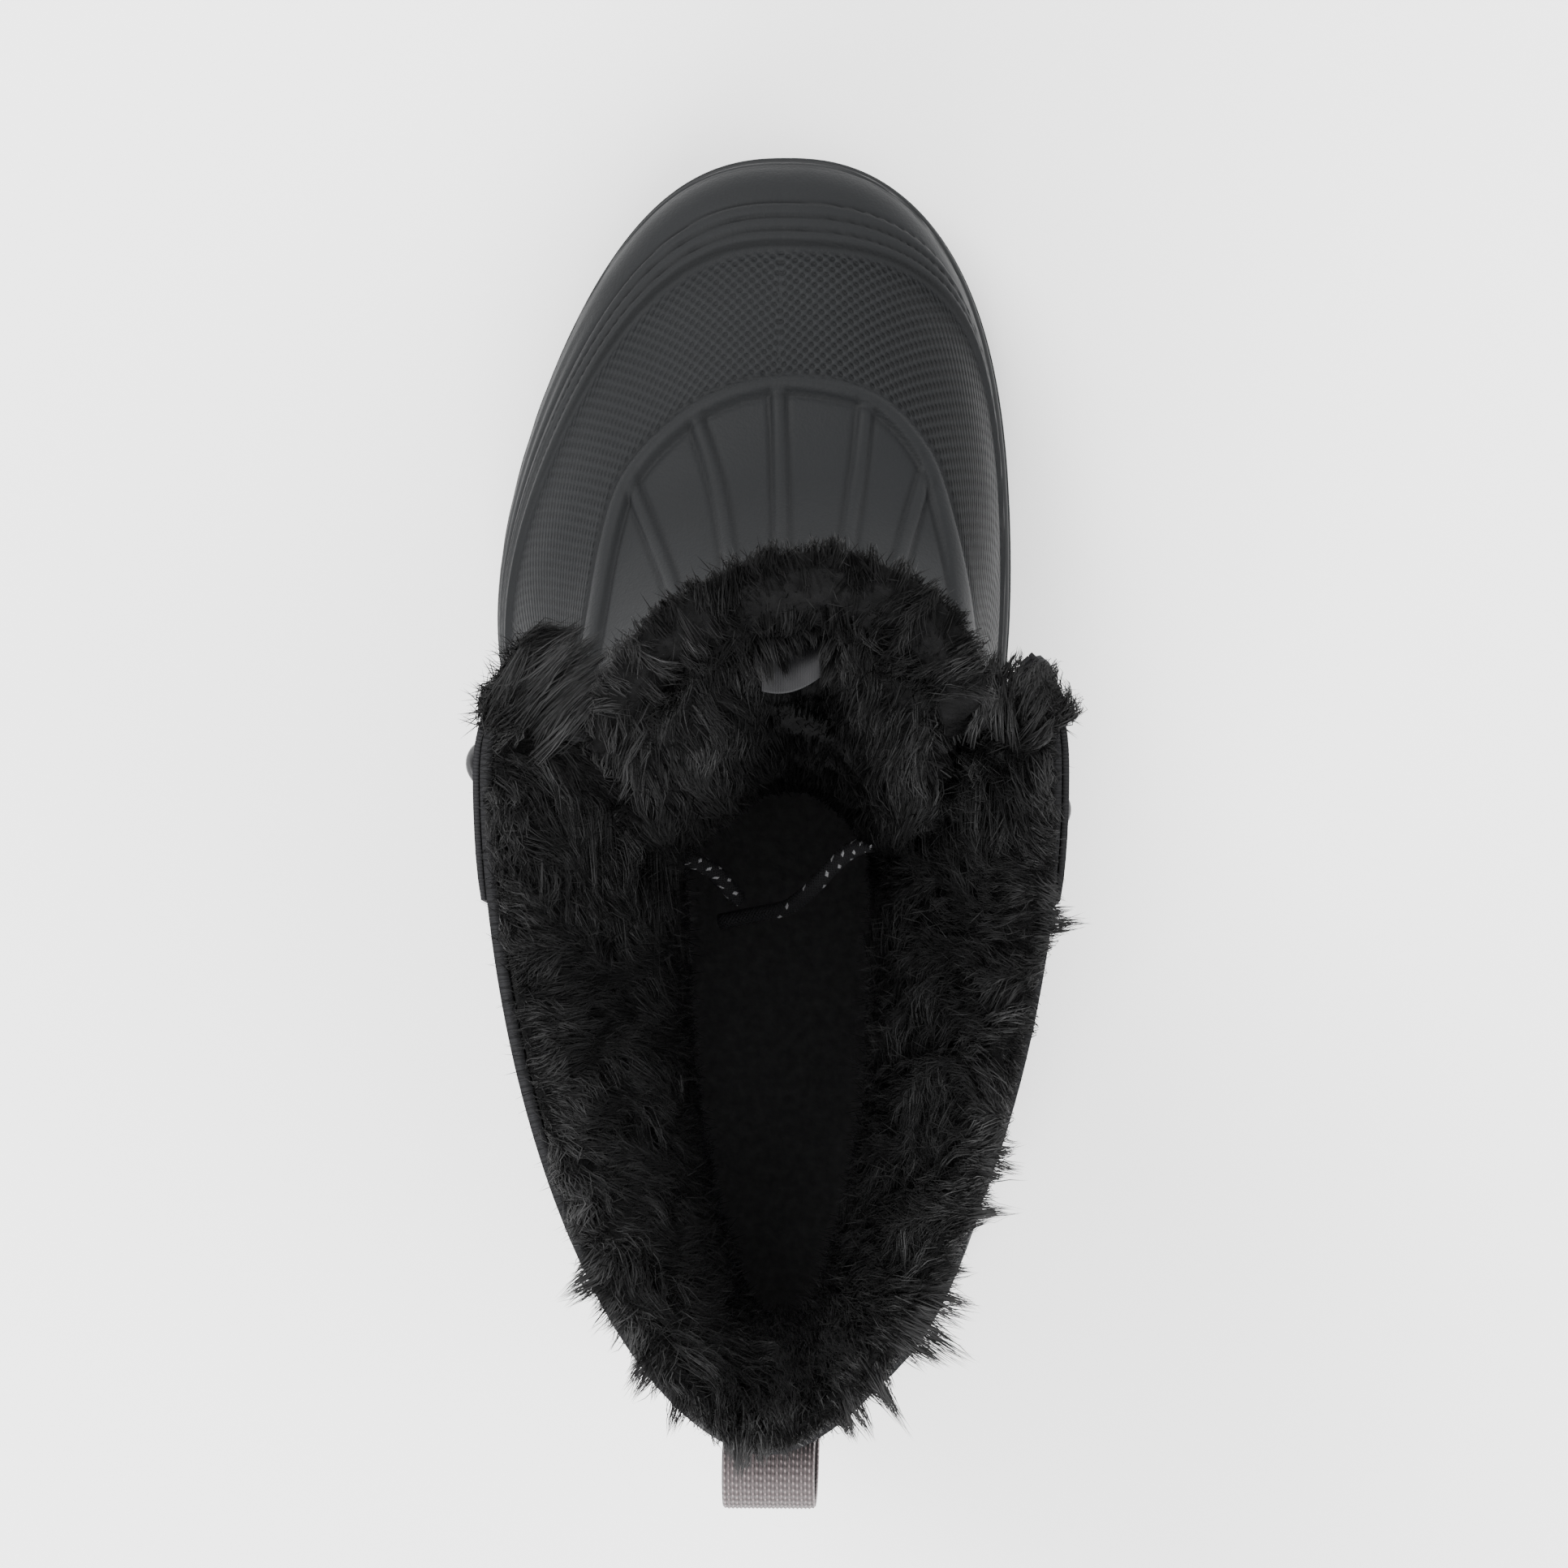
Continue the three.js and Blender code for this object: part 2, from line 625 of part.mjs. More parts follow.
// Raised lines on the shell, in plan: X as shares of the ball width, Y of the foot length.
const archLine = [
  [-0.405, 0.045], [-0.395, 0.090], [-0.380, 0.132], [-0.355, 0.199], [-0.318, 0.246],
  [-0.222, 0.289], [-0.125, 0.313], [-0.015, 0.324], [0.093, 0.321], [0.190, 0.309],
  [0.288, 0.268], [0.341, 0.208], [0.372, 0.152], [0.388, 0.100], [0.396, 0.055],
];
const fanLines = [
  [[-0.318, 0.248], [-0.262, 0.200], [-0.220, 0.164], [-0.195, 0.135]],
  [[-0.184, 0.301], [-0.138, 0.250], [-0.100, 0.185], [-0.082, 0.140]],
  [[-0.012, 0.325], [-0.003, 0.260], [0.006, 0.195], [0.010, 0.145]],
  [[0.172, 0.312], [0.160, 0.260], [0.143, 0.202], [0.128, 0.140]],
  [[0.303, 0.262], [0.270, 0.215], [0.243, 0.173], [0.222, 0.135]],
];
const archRadius = 2;
const fanRadius = 1.8;

function raisedLine(line, radius, steps) {
  const sink = shellOuter - 0.9 - 0.45 * radius;
  const points = line.map(([x, y]) => pointAbove(x * ballWidth, y * footLength, sink));
  return barSolid(points, radius, steps, 5);
}

// Upper edge of the shell, seen from the side: Y as shares of the foot length, height as shares
// of feather line to instep.
const shellEdge = [
  [-0.70, 0.90], [-0.40, 0.88], [-0.24, 0.70], [-0.09, 0.63], [0.035, 0.73], [0.115, 0.94],
  [0.70, 0.94],
];
const shellTop = throatHeight(0.5);
const aboveShell = prismSolid([
  ...shellEdge.map(([y, rise]) => [y * footLength, soleHeight + rise * (instepHeight - soleHeight)]),
  [0.70 * footLength, shellTop],
  [-0.70 * footLength, shellTop],
], 'x', -collarWidth, collarWidth);

const shell = joined([
  shellBody(),
  raisedLine(archLine, archRadius, 20),
  ...fanLines.map((line) => raisedLine(line, fanRadius, 4)),
]);
addPiece('rubber_shell', mainBody(shell.subtract(formCore(shellFit)).subtract(aboveShell)), rubber);

// Eyestays: woven strips along both sides of the throat, wide at the collar.
const stayThickness = 1.3;
const stayLine = [
  [0.048, 0.01], [0.0, 0.12], [-0.041, 0.27], [-0.075, 0.40], [-0.089, 0.54], [-0.089, 0.76],
  [-0.075, 1.00], [-0.070, 1.20],
];
const stayRegion = prismSolid([
  ...stayLine.map(([y, rise]) => [y * footLength, throatHeight(rise)]),
  [0.5 * footLength, throatHeight(1.2)],
  [0.5 * footLength, throatHeight(0.01)],
], 'x', -collarWidth, collarWidth);
const stayOuter = gap + stayThickness;
const stays = wallRing(stayOuter, -upperWall).subtract(formCore(gap)).intersect(stayRegion)
  .subtract(throat).decompose();
const sideOf = (solid) => Math.sign(solid.boundingBox().max[0] + solid.boundingBox().min[0]);
for (const [side, name] of [[-1, 'eyestay_left'], [1, 'eyestay_right']]) {
  const stay = stays.filter((solid) => sideOf(solid) === side)
    .sort((a, b) => b.volume() - a.volume())[0];
  addPiece(name, mainBody(stay), webbing);
}

// Lace loops: an arch on a small base, four on each side of the throat.
// Height as a share of instep to collar, then direction in turns from the toe.
const lowerLoops = [[0.13, 0.122], [0.33, 0.158], [0.53, 0.184]];
const leftLoops = [...lowerLoops, [0.78, 0.213]];
const rightLoops = [...lowerLoops, [0.64, 0.232]];
const loopPlaces = (side) => (side < 0 ? leftLoops : rightLoops);
const loopBase = { width: 15, height: 9, thickness: 1.2 };
const loopArch = { span: 9.5, foot: 1, rise: 5.4, radius: 1.2 };
const stayFace = formCore(stayOuter + gap);

function loopFrame(side, index) {
  const [rise, away] = loopPlaces(side)[index];
  const angle = front - side * away * turn;
  const height = throatHeight(rise);
  const out = formNormal(angle, height);
  const along = new THREE.Vector3(0, 0, 1).cross(out).normalize();
  const up = out.clone().cross(along).normalize();
  return { origin: formPoint(angle, height), out, along, up };
}

function inFrame(frame, along, up, out) {
  return frame.origin.clone().addScaledVector(frame.along, along)
    .addScaledVector(frame.up, up).addScaledVector(frame.out, out);
}

const baseDepth = 6;

function loopBody(side, index) {
  const frame = loopFrame(side, index);
  const base = new THREE.BoxGeometry(loopBase.width, loopBase.height, baseDepth);
  const level = stayOuter + gap + loopBase.thickness - baseDepth / 2;
  base.applyMatrix4(new THREE.Matrix4().makeBasis(frame.along, frame.up, frame.out));
  base.translate(...inFrame(frame, 0, 0, level).toArray());
  const arch = [];
  for (let k = 0; k <= 4; k += 1) {
    const angle = Math.PI * k / 4;
    const out = stayOuter + gap + loopArch.foot + loopArch.rise * Math.sin(angle);
    arch.push(inFrame(frame, loopArch.span / 2 * Math.cos(angle), 0, out));
  }
  const body = solidOf(base).add(barSolid(arch, loopArch.radius, 5, 5));
  return mainBody(body.subtract(stayFace));
}

for (const [side, name] of [[-1, 'left'], [1, 'right']]) {
  loopPlaces(side).forEach((place, index) => {
    addPiece(`lace_loop_${name}_${index + 1}`, loopBody(side, index), plastic);
  });
}

// Pile on the tongue: lies on its inner face and turns over its top edge.
// Depth from the tongue's outer face, and height as a share of the tongue.
const tonguePile = [
  [5.4, 0.24], [10, 0.24], [17, 0.30], [21, 0.40], [21, 0.56], [20, 0.72], [18, 0.86], [14, 0.98],
  [8.5, 1.045], [2, 1.065], [-2.6, 1.045], [-3.2, 1.015], [-0.5, 1.006], [5.4, 1.006],
  [5.4, 0.92], [5.4, 0.82], [5.4, 0.72], [5.4, 0.60], [5.4, 0.48], [5.4, 0.36],
];
const pileBack = 5.4;

function tonguePileBody(swell) {
  const outline = tonguePile.map(([depth, rise]) => new THREE.Vector2(depth, rise));
  const place = (share, corner) => {
    const across = (2 * share - 1) * (1 + swell / tongueWidth);
    const edge = 0.45 + 0.55 * Math.sqrt(Math.max(0, 1 - Math.abs(across) ** 5));
    const height = tongueBottom + corner.y * (tongueTop - tongueBottom);
    const over = corner.x - pileBack;
    const depth = over > 0 ? pileBack + over * edge + swell : corner.x - Math.sign(swell);
    return tonguePoint(across, height, depth);
  };
  return sweptSolid(place, outline, tongueSlices);
}

// Tufts of the pile: short pointed locks that lie over and swirl, spread evenly over a face.
// place(u, step) gives a point of the face, with step running over its rows.
const tuftRadius = 2.7;
const tuftLength = 12;
const golden = 0.618034;

function tuftsOn(place, rows, count, centre, spread) {
  const tufts = [];
  for (let k = 0; k < count; k += 1) {
    const u = 0.5 + ((k + 0.5) / count - 0.5) * spread;
    const row = rows[0] + (rows[1] - rows[0]) * ((k * golden) % 1);
    const root = place(u, row);
    const alongU = place(u + 0.004, row).sub(place(u - 0.004, row)).normalize();
    const alongRow = place(u, row + 0.1).sub(place(u, row - 0.1)).normalize();
    const out = alongU.clone().cross(alongRow).normalize();
    if (out.dot(root.clone().sub(centre(u))) < 0) out.negate();
    const swirl = Math.sin(2.3 * k) * 0.8;
    const lie = alongRow.multiplyScalar(Math.cos(1.7 * k) * 0.35 - 0.55);
    const aim = out.clone().multiplyScalar(0.62).add(lie).addScaledVector(alongU, swirl).normalize();
    const size = 0.85 + 0.3 * ((k * 0.37) % 1);
    const cone = new THREE.ConeGeometry(tuftRadius * size, tuftLength * size, 4, 1);
    const rest = new THREE.Vector3(0, 1, 0);
    cone.applyQuaternion(new THREE.Quaternion().setFromUnitVectors(rest, aim));
    const foot = root.clone().addScaledVector(out, -1.6);
    cone.translate(...foot.addScaledVector(aim, tuftLength * size / 2 - 1).toArray());
    tufts.push(solidOf(cone));
  }
  return joined(tufts);
}

// Corner of an outline at a place between two of its corners.
function outlineAt(table, step) {
  const index = Math.min(Math.max(Math.floor(step), 0), table.length - 2);
  const share = step - index;
  const [a, b] = [table[index], table[index + 1]];
  return new THREE.Vector2(a[0] + share * (b[0] - a[0]), a[1] + share * (b[1] - a[1]));
}

// Lace: a bar above the vamp and three crossings, ending just short of the loops.
const laceRadius = 1.9;
const laceLevel = stayOuter + gap + laceRadius + 0.4;
const laceStop = 10.5;

function laceEnd(side, index) {
  const [rise, away] = loopPlaces(side)[index];
  const angle = front - side * away * turn;
  const height = throatHeight(rise);
  const step = formPoint(angle + 0.05, height).distanceTo(formPoint(angle - 0.05, height)) / 0.1;
  return { angle: angle + side * laceStop / step, height };
}

function lacePath(from, to) {
  const points = [];
  for (let k = 0; k <= 6; k += 1) {
    const share = k / 6;
    const angle = from.angle + share * (to.angle - from.angle);
    const height = from.height + share * (to.height - from.height);
    const proud = tongueFace(0, height).y - formPoint(front, height).y + laceRadius + 1.6;
    const lift = Math.max(0, proud - laceLevel) * Math.exp(-(((angle - front) / 0.9) ** 4));
    points.push(skinPoint(angle, height, laceLevel + lift));
  }
  return points;
}
const laceRuns = [lacePath(laceEnd(-1, 0), laceEnd(1, 0))];
for (let index = 0; index < lowerLoops.length; index += 1) {
  laceRuns.push(lacePath(laceEnd(-1, index), laceEnd(1, index + 1)));
  laceRuns.push(lacePath(laceEnd(1, index), laceEnd(-1, index + 1)));
}
const laceOf = (radius) => joined(laceRuns.map((run) => barSolid(run, radius, 5, 5)));
addPiece('lace', laceOf(laceRadius), cordBlack);

// Lace ends: from the top loops round the front edges of the quarters and down into the boot.
const laceEndLeft = [
  [-58.9, 13.5, 195.6], [-56, 22.5, 197], [-50.5, 31.5, 197.5], [-46.2, 26, 198],
  [-45.8, 17, 194.5], [-46, 9.5, 190.5], [-45.4, 2, 185], [-37, -7, 170], [-28, -12.5, 150],
  [-19, -16, 132], [-13, -19.5, 123], [-8, -26, 115],
];
const laceEndRight = [
  [65.5, 2.5, 181.5], [66, 9, 187.5], [65, 19, 193], [62, 28.6, 196.5], [56.6, 23, 198.5],
  [55.6, 13, 195],
  [51, 1, 186], [42, -7, 170], [31, -12, 150], [19, -14, 132], [9, -23.5, 121],
  [3.5, -27.8, 114.5], [-3.5, -29.5, 110], [-12.5, -31.5, 107],
];
const cordPoints = (list) => list.map(([x, y, z]) => new THREE.Vector3(x, y, z));
const laceChannels = joined([laceEndLeft, laceEndRight]
  .map((list) => barSolid(cordPoints(list), laceRadius + gap + 0.1, 18, 8)));
addPiece('lace_end_left', barSolid(cordPoints(laceEndLeft), laceRadius, 16, 8), cordBlack);
addPiece('lace_end_right', barSolid(cordPoints(laceEndRight), laceRadius, 18, 8), cordBlack);

// Satin tag inside the tongue's top: a thin bent strip that comes out of the pile.
const tagLine = [[37, 209.5], [33, 215], [28.5, 218.6], [22.5, 219.5]];
const tagSides = [2.5, 15.5];
const tagHalf = 0.4;

function tagBody(swell) {
  const half = tagHalf + swell;
  const above = tagLine.map(([y, z], k) => [y + (k < 2 ? half * 0.8 : 0), z + half]);
  const below = tagLine.map(([y, z], k) => [y - (k < 2 ? half * 0.8 : 0), z - half]).reverse();
  return prismSolid([...above, ...below], 'x', tagSides[0] - swell, tagSides[1] + swell);
}
addPiece('tag', tagBody(0), satin);

// Pile on the tongue, with its tufts, clear of the tag and of the lace ends.
function tongueTuftPlace(u, row) {
  const corner = outlineAt(tonguePile, row);
  const height = tongueBottom + corner.y * (tongueTop - tongueBottom);
  return tonguePoint(2 * u - 1, height, corner.x);
}
const tongueCore = (u) => tonguePoint(2 * u - 1, throatHeight(0.8), pileBack + 4);
const tongueTufts = tuftsOn(tongueTuftPlace, [2.5, 10.5], 14, tongueCore, 0.62);
const tonguePileCut = tonguePileBody(0).add(tongueTufts).subtract(tagBody(gap))
  .subtract(laceChannels);
addPiece('tongue_fur', mainBody(tonguePileCut), pile);

// Pile round the collar: lines the shaft and turns over its rim.
// Depth from the form's face, and height as a share of feather line to collar edge.
const collarPile = [
  [3.4, 0.52], [20, 0.52], [26, 0.60], [25.5, 0.71], [21.5, 0.81], [17, 0.90], [13.5, 0.975],
  [9.5, 1.022], [4.5, 1.042], [0.2, 1.034], [-1.2, 1.016], [-0.6, 1.0028], [3.4, 1.0028],
  [3.4, 0.88], [3.4, 0.75], [3.4, 0.63],
];
const collarPileBack = 3.4;
const pileSpine = [-0.33, -0.06];
const collarPileRange = [0.388, 1.09];
const collarPileSlices = 17;
const backThinning = 0.48;

function collarPilePlace(u, corner) {
  const [from, to] = collarPileRange;
  const angle = (from + (to - from) * u) * turn;
  const edge = 0.5 + 0.5 * Math.sqrt(Math.max(0, 1 - Math.abs(2 * u - 1) ** 20));
  const height = wallHeight(angle, corner.y);
  const over = corner.x - collarPileBack;
  if (over <= 0) return skinPoint(angle, height, -corner.x).setZ(height);
  const face = skinPoint(angle, height, -collarPileBack).setZ(height);
  const y = Math.min(Math.max(face.y, pileSpine[0] * footLength), pileSpine[1] * footLength);
  const inward = new THREE.Vector3(sectionAt(height).mid, y, height).sub(face).normalize();
  const thin = 1 - backThinning * Math.max(0, -Math.sin(angle)) ** 2;
  return face.addScaledVector(inward, over * thin * edge);
}
const collarOutline = collarPile.map(([depth, rise]) => new THREE.Vector2(depth, rise));
const collarBody = sweptSolid(collarPilePlace, collarOutline, collarPileSlices);
const collarTuftPlace = (u, row) => collarPilePlace(u, outlineAt(collarPile, row));
const collarCoreDepth = 10;
const collarCore = (u) => collarPilePlace(u, new THREE.Vector2(collarCoreDepth, 0.9));
const collarTufts = tuftsOn(collarTuftPlace, [2.5, 8.6], 44, collarCore, 0.94);
const tongueRoom = tongueBody(0.6).add(tonguePileBody(1.2)).add(tonguePileCut);
const collarCut = collarBody.add(collarTufts).subtract(tongueRoom).subtract(laceChannels)
  .subtract(laceOf(laceRadius + gap + 0.1));
addPiece('collar_fur', mainBody(collarCut), pile);

// Pull loop: a webbing strap stitched to the back that stands out as a loop.
const loopWidth = 20.2;
const loopThickness = 1.5;
const loopPath = [
  [0.30, 167], [0.30, 175], [4.5, 181], [11, 188], [14, 197], [12.5, 206], [6, 209.5], [0.30, 207],
  [0.30, 197],
];

function pullLoopBody() {
  const back = (height) => formPoint(-front, height).y - gap;
  const line = loopPath.map(([out, height]) => new THREE.Vector2(back(height) - out, height));
  const curve = new THREE.SplineCurve(line);
  const outer = [];
  const inner = [];
  const count = 16;
  for (let k = 0; k <= count; k += 1) {
    const point = curve.getPoint(k / count);
    const along = curve.getTangent(k / count);
    const across = new THREE.Vector2(-along.y, along.x).multiplyScalar(loopThickness / 2);
    outer.push([point.x + across.x, point.y + across.y]);
    inner.push([point.x - across.x, point.y - across.y]);
  }
  const x = columnAt('rear', collarHeight) * ballWidth;
  return prismSolid([...outer, ...inner.reverse()], 'x', x - loopWidth / 2, x + loopWidth / 2)
    .subtract(formCore(gap));
}
addPiece('pull_loop', mainBody(pullLoopBody()), mauveWebbing);

// The origin is on the ground, under the middle of the boot.
const bounds = new THREE.Box3().setFromObject(boot);
const middle = bounds.getCenter(new THREE.Vector3());
boot.position.set(-middle.x, -middle.y, -bounds.min.z);
boot.updateMatrixWorld(true);

export default boot;
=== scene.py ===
"""Left snow boot: rubber sole and shell, nylon shaft, padded tongue, laces and deep pile.

The packed solids are the frame, and every piece here is dressed round them. The functions work in
millimetres, in the frame of the boot's own form, and the finished meshes are in metres.
"""

import math

import bmesh
import bpy
import numpy as np
from bpy.props import FloatProperty, FloatVectorProperty, IntProperty, PointerProperty
from mathutils import Matrix, Vector


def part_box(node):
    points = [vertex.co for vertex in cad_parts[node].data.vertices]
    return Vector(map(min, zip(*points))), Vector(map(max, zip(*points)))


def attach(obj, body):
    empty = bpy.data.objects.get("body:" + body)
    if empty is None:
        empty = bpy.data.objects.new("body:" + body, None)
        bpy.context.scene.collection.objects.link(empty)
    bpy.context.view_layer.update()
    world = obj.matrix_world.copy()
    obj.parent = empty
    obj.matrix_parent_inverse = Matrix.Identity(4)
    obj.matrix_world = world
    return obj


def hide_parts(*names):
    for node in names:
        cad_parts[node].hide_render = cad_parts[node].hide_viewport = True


bl_info = {
    "name": "Snow boot",
    "version": (1, 0, 0),
    "blender": (4, 5, 0),
    "location": "3D View > Sidebar > Snow boot",
    "description": "Builds a left snow boot with a rubber shell, laces and deep pile",
    "category": "Add Mesh",
}

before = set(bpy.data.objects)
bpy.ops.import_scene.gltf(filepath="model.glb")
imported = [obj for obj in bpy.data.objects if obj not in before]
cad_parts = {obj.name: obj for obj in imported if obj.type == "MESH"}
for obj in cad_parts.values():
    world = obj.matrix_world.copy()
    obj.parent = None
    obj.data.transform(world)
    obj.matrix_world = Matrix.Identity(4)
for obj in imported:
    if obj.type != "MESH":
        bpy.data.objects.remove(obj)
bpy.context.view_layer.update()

MM = 0.001
TURN = 2 * math.pi
FRONT = math.pi / 2

# Main sizes of the boot, in millimetres.
FOOT_LENGTH = 291.6
BALL_WIDTH = 116.0
COLLAR_WIDTH = 128.0
SOLE_HEIGHT = 30.0
INSTEP_HEIGHT = 106.0
COLLAR_HEIGHT = 216.0
COLLAR_DIP = 5.0
GAP = 0.35
UPPER_WALL = 2.6
SHELL_OUTER = GAP + 2.7
UPPER_BASE = SOLE_HEIGHT + GAP
TREAD_DEPTH = 5.0
ARCH_RISE = 7.0
TOE_SPRING = 13.0
TOE_SPRING_LENGTH = 62.0
TONGUE_BOTTOM = 92.0
TONGUE_TOP = 224.0
TONGUE_WIDTH = 82.0
TONGUE_PAD = 5.0
TONGUE_SLACK = 0.9
STAY_OUTER = GAP + 1.3
LACE_RADIUS = 1.9

# The tag's low corner ties the form's frame to the packed row's frame.
TAG_LOW = (2.5, 22.5)
tag_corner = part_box("tag")[0]
SHIFT = np.array((tag_corner.x / MM - TAG_LOW[0], tag_corner.y / MM - TAG_LOW[1], 0.0))

# Horizontal sections of the form, from the feather line to the collar.
SECTION_COLUMNS = ("foot", "shaft", "toe", "wide", "heel", "ball", "collar", "mid", "tip", "rear",
                   "fall", "blunt", "back", "waist")
SECTIONS = np.array((
    (0.000, 0.000, 0.500, 0.113, -0.500, 0.500, 0.000, -0.078, -0.009, 0.026, 1.95, 0.41, 2.20, 0.21),
    (0.079, 0.000, 0.498, 0.113, -0.504, 0.501, 0.000, -0.078, -0.009, 0.026, 1.95, 0.41, 2.20, 0.20),
    (0.158, 0.000, 0.484, 0.113, -0.506, 0.500, 0.000, -0.076, -0.009, 0.026, 1.95, 0.41, 2.20, 0.19),
    (0.224, 0.000, 0.450, 0.113, -0.507, 0.494, 0.000, -0.074, -0.009, 0.026, 1.97, 0.42, 2.20, 0.17),
    (0.276, 0.000, 0.418, 0.110, -0.507, 0.486, 0.000, -0.071, -0.009, 0.026, 2.00, 0.43, 2.20, 0.15),
    (0.329, 0.000, 0.377, 0.106, -0.507, 0.475, 0.000, -0.067, -0.009, 0.026, 2.03, 0.44, 2.20, 0.13),
    (0.382, 0.000, 0.333, 0.102, -0.506, 0.462, 0.000, -0.062, -0.009, 0.026, 2.06, 0.45, 2.20, 0.11),
    (0.447, 0.000, 0.284, 0.092, -0.504, 0.445, 0.000, -0.055, -0.007, 0.026, 2.08, 0.46, 2.20, 0.09),
    (0.539, 0.000, 0.238, 0.069, -0.501, 0.425, 0.000, -0.045, -0.005, 0.026, 2.10, 0.47, 2.20, 0.06),
    (0.671, 0.000, 0.199, 0.027, -0.496, 0.408, 0.000, -0.032, -0.002, 0.026, 2.10, 0.47, 2.20, 0.03),
    (0.816, 0.000, 0.168, -0.021, -0.490, 0.397, 0.000, -0.018, 0.000, 0.026, 2.10, 0.47, 2.18, 0.01),
    (1.000, 0.000, 0.137, -0.062, -0.482, 0.293, 0.089, 0.000, 0.002, 0.026, 2.10, 0.47, 2.14, 0.00),
    (1.000, 0.127, 0.099, -0.082, -0.475, 0.148, 0.221, 0.010, 0.008, 0.026, 2.15, 0.46, 2.10, 0.00),
    (1.000, 0.264, 0.067, -0.079, -0.469, 0.000, 0.367, 0.018, 0.018, 0.028, 2.20, 0.45, 2.05, 0.00),
    (1.000, 0.400, 0.048, -0.062, -0.467, 0.000, 0.387, 0.026, 0.026, 0.032, 2.20, 0.45, 2.00, 0.00),
    (1.000, 0.536, 0.051, -0.041, -0.469, 0.000, 0.414, 0.030, 0.034, 0.032, 2.25, 0.44, 1.95, 0.00),
    (1.000, 0.718, 0.086, -0.014, -0.476, 0.000, 0.457, 0.034, 0.042, 0.031, 2.30, 0.43, 1.90, 0.00),
    (1.000, 0.855, 0.120, 0.003, -0.483, 0.000, 0.480, 0.035, 0.048, 0.030, 2.40, 0.42, 1.85, 0.00),
    (1.000, 1.000, 0.168, 0.017, -0.490, 0.000, 0.500, 0.035, 0.052, 0.030, 2.50, 0.41, 1.80, 0.00),
))
SECTION_HEIGHTS = (SOLE_HEIGHT + SECTIONS[:, 0] * (INSTEP_HEIGHT - SOLE_HEIGHT)
                   + SECTIONS[:, 1] * (COLLAR_HEIGHT - INSTEP_HEIGHT))


# The boot's form

def column_at(name, height):
    """Smooth value of one column of the sections at some heights."""
    values = SECTIONS[:, SECTION_COLUMNS.index(name)]
    last = len(values) - 1
    before = np.maximum(np.arange(last + 1) - 1, 0)
    after = np.minimum(np.arange(last + 1) + 1, last)
    slopes = (values[after] - values[before]) / (SECTION_HEIGHTS[after] - SECTION_HEIGHTS[before])
    z = np.clip(height, SECTION_HEIGHTS[0], SECTION_HEIGHTS[-1])
    row = np.clip(np.searchsorted(SECTION_HEIGHTS, z) - 1, 0, last - 1)
    span = SECTION_HEIGHTS[row + 1] - SECTION_HEIGHTS[row]
    t = (z - SECTION_HEIGHTS[row]) / span
    return ((2 * t**3 - 3 * t**2 + 1) * values[row] + (t**3 - 2 * t**2 + t) * span * slopes[row]
            + (3 * t**2 - 2 * t**3) * values[row + 1] + (t**3 - t**2) * span * slopes[row + 1])


def section_at(height):
    """Lengths of the section at some heights, in millimetres."""
    section = {name: column_at(name, height) * FOOT_LENGTH for name in ("toe", "wide", "heel")}
    section |= {name: column_at(name, height) * BALL_WIDTH for name in ("mid", "tip", "rear")}
    section["half"] = (column_at("ball", height) * BALL_WIDTH
                       + column_at("collar", height) * COLLAR_WIDTH)
    return section


def form_point(angle, height):
    """Points of the boot's outer form. The toe is at a quarter turn, the inner side at zero."""
    angle, height = np.broadcast_arrays(np.asarray(angle, float), np.asarray(height, float))
    s = section_at(height)
    along = np.sin(angle)
    share = np.clip(np.abs(along), 0, 1)
    ahead = along >= 0
    y = s["wide"] + along * np.where(ahead, s["toe"] - s["wide"], s["wide"] - s["heel"])
    fall = np.where(ahead, column_at("fall", height), column_at("back", height))
    blunt = np.where(ahead, column_at("blunt", height), 1 / column_at("back", height))
    waist = np.exp(-(((y + 0.1 * FOOT_LENGTH) / (0.13 * FOOT_LENGTH)) ** 2))
    narrowing = 1 - column_at("waist", height) * waist
    width = s["half"] * np.maximum(1 - share**fall, 0) ** blunt * narrowing
    centre = s["mid"] + (np.where(ahead, s["tip"], s["rear"]) - s["mid"]) * smooth_share(share, 0, 1)
    return np.stack((centre + np.sign(np.cos(angle)) * width, y, height), -1)


def unit(vectors):
    return vectors / np.maximum(np.linalg.norm(vectors, axis=-1, keepdims=True), 1e-9)


def form_normal(angle, height):
    """Outward directions of the form, from its slopes round and up."""
    turn, rise = 0.01, 0.4
    level = np.clip(height, SOLE_HEIGHT + rise, COLLAR_HEIGHT - rise)
    around = form_point(angle + turn, level) - form_point(angle - turn, level)
    upward = form_point(angle, level + rise) - form_point(angle, level - rise)
    return unit(np.cross(around, upward))


def skin_point(angle, height, outside):
    """Points a distance outside the form, or inside it where the distance is negative."""
    outside = np.asarray(outside, float)[..., None]
    return form_point(angle, height) + form_normal(angle, height) * outside


def collar_line(angle):
    return COLLAR_HEIGHT - COLLAR_DIP * np.cos(angle) ** 2


def throat_height(share):
    return INSTEP_HEIGHT + share * (COLLAR_HEIGHT - INSTEP_HEIGHT)


def throat_share(height):
    return (height - INSTEP_HEIGHT) / (COLLAR_HEIGHT - INSTEP_HEIGHT)


def smooth_share(value, low, high):
    """0 below a low value and 1 above a high one, with a soft rise between them."""
    share = np.clip((value - low) / (high - low), 0, 1)
    return share * share * (3 - 2 * share)


def hump(value, centre, width):
    return np.exp(-(((value - centre) / width) ** 2))


def halved(near, far, is_near):
    """Where a test turns from true to false between two arrays, found by halving."""
    for _ in range(30):
        middle = (near + far) / 2
        keeps = is_near(middle)
        near, far = np.where(keeps, middle, near), np.where(keeps, far, middle)
    return (near + far) / 2


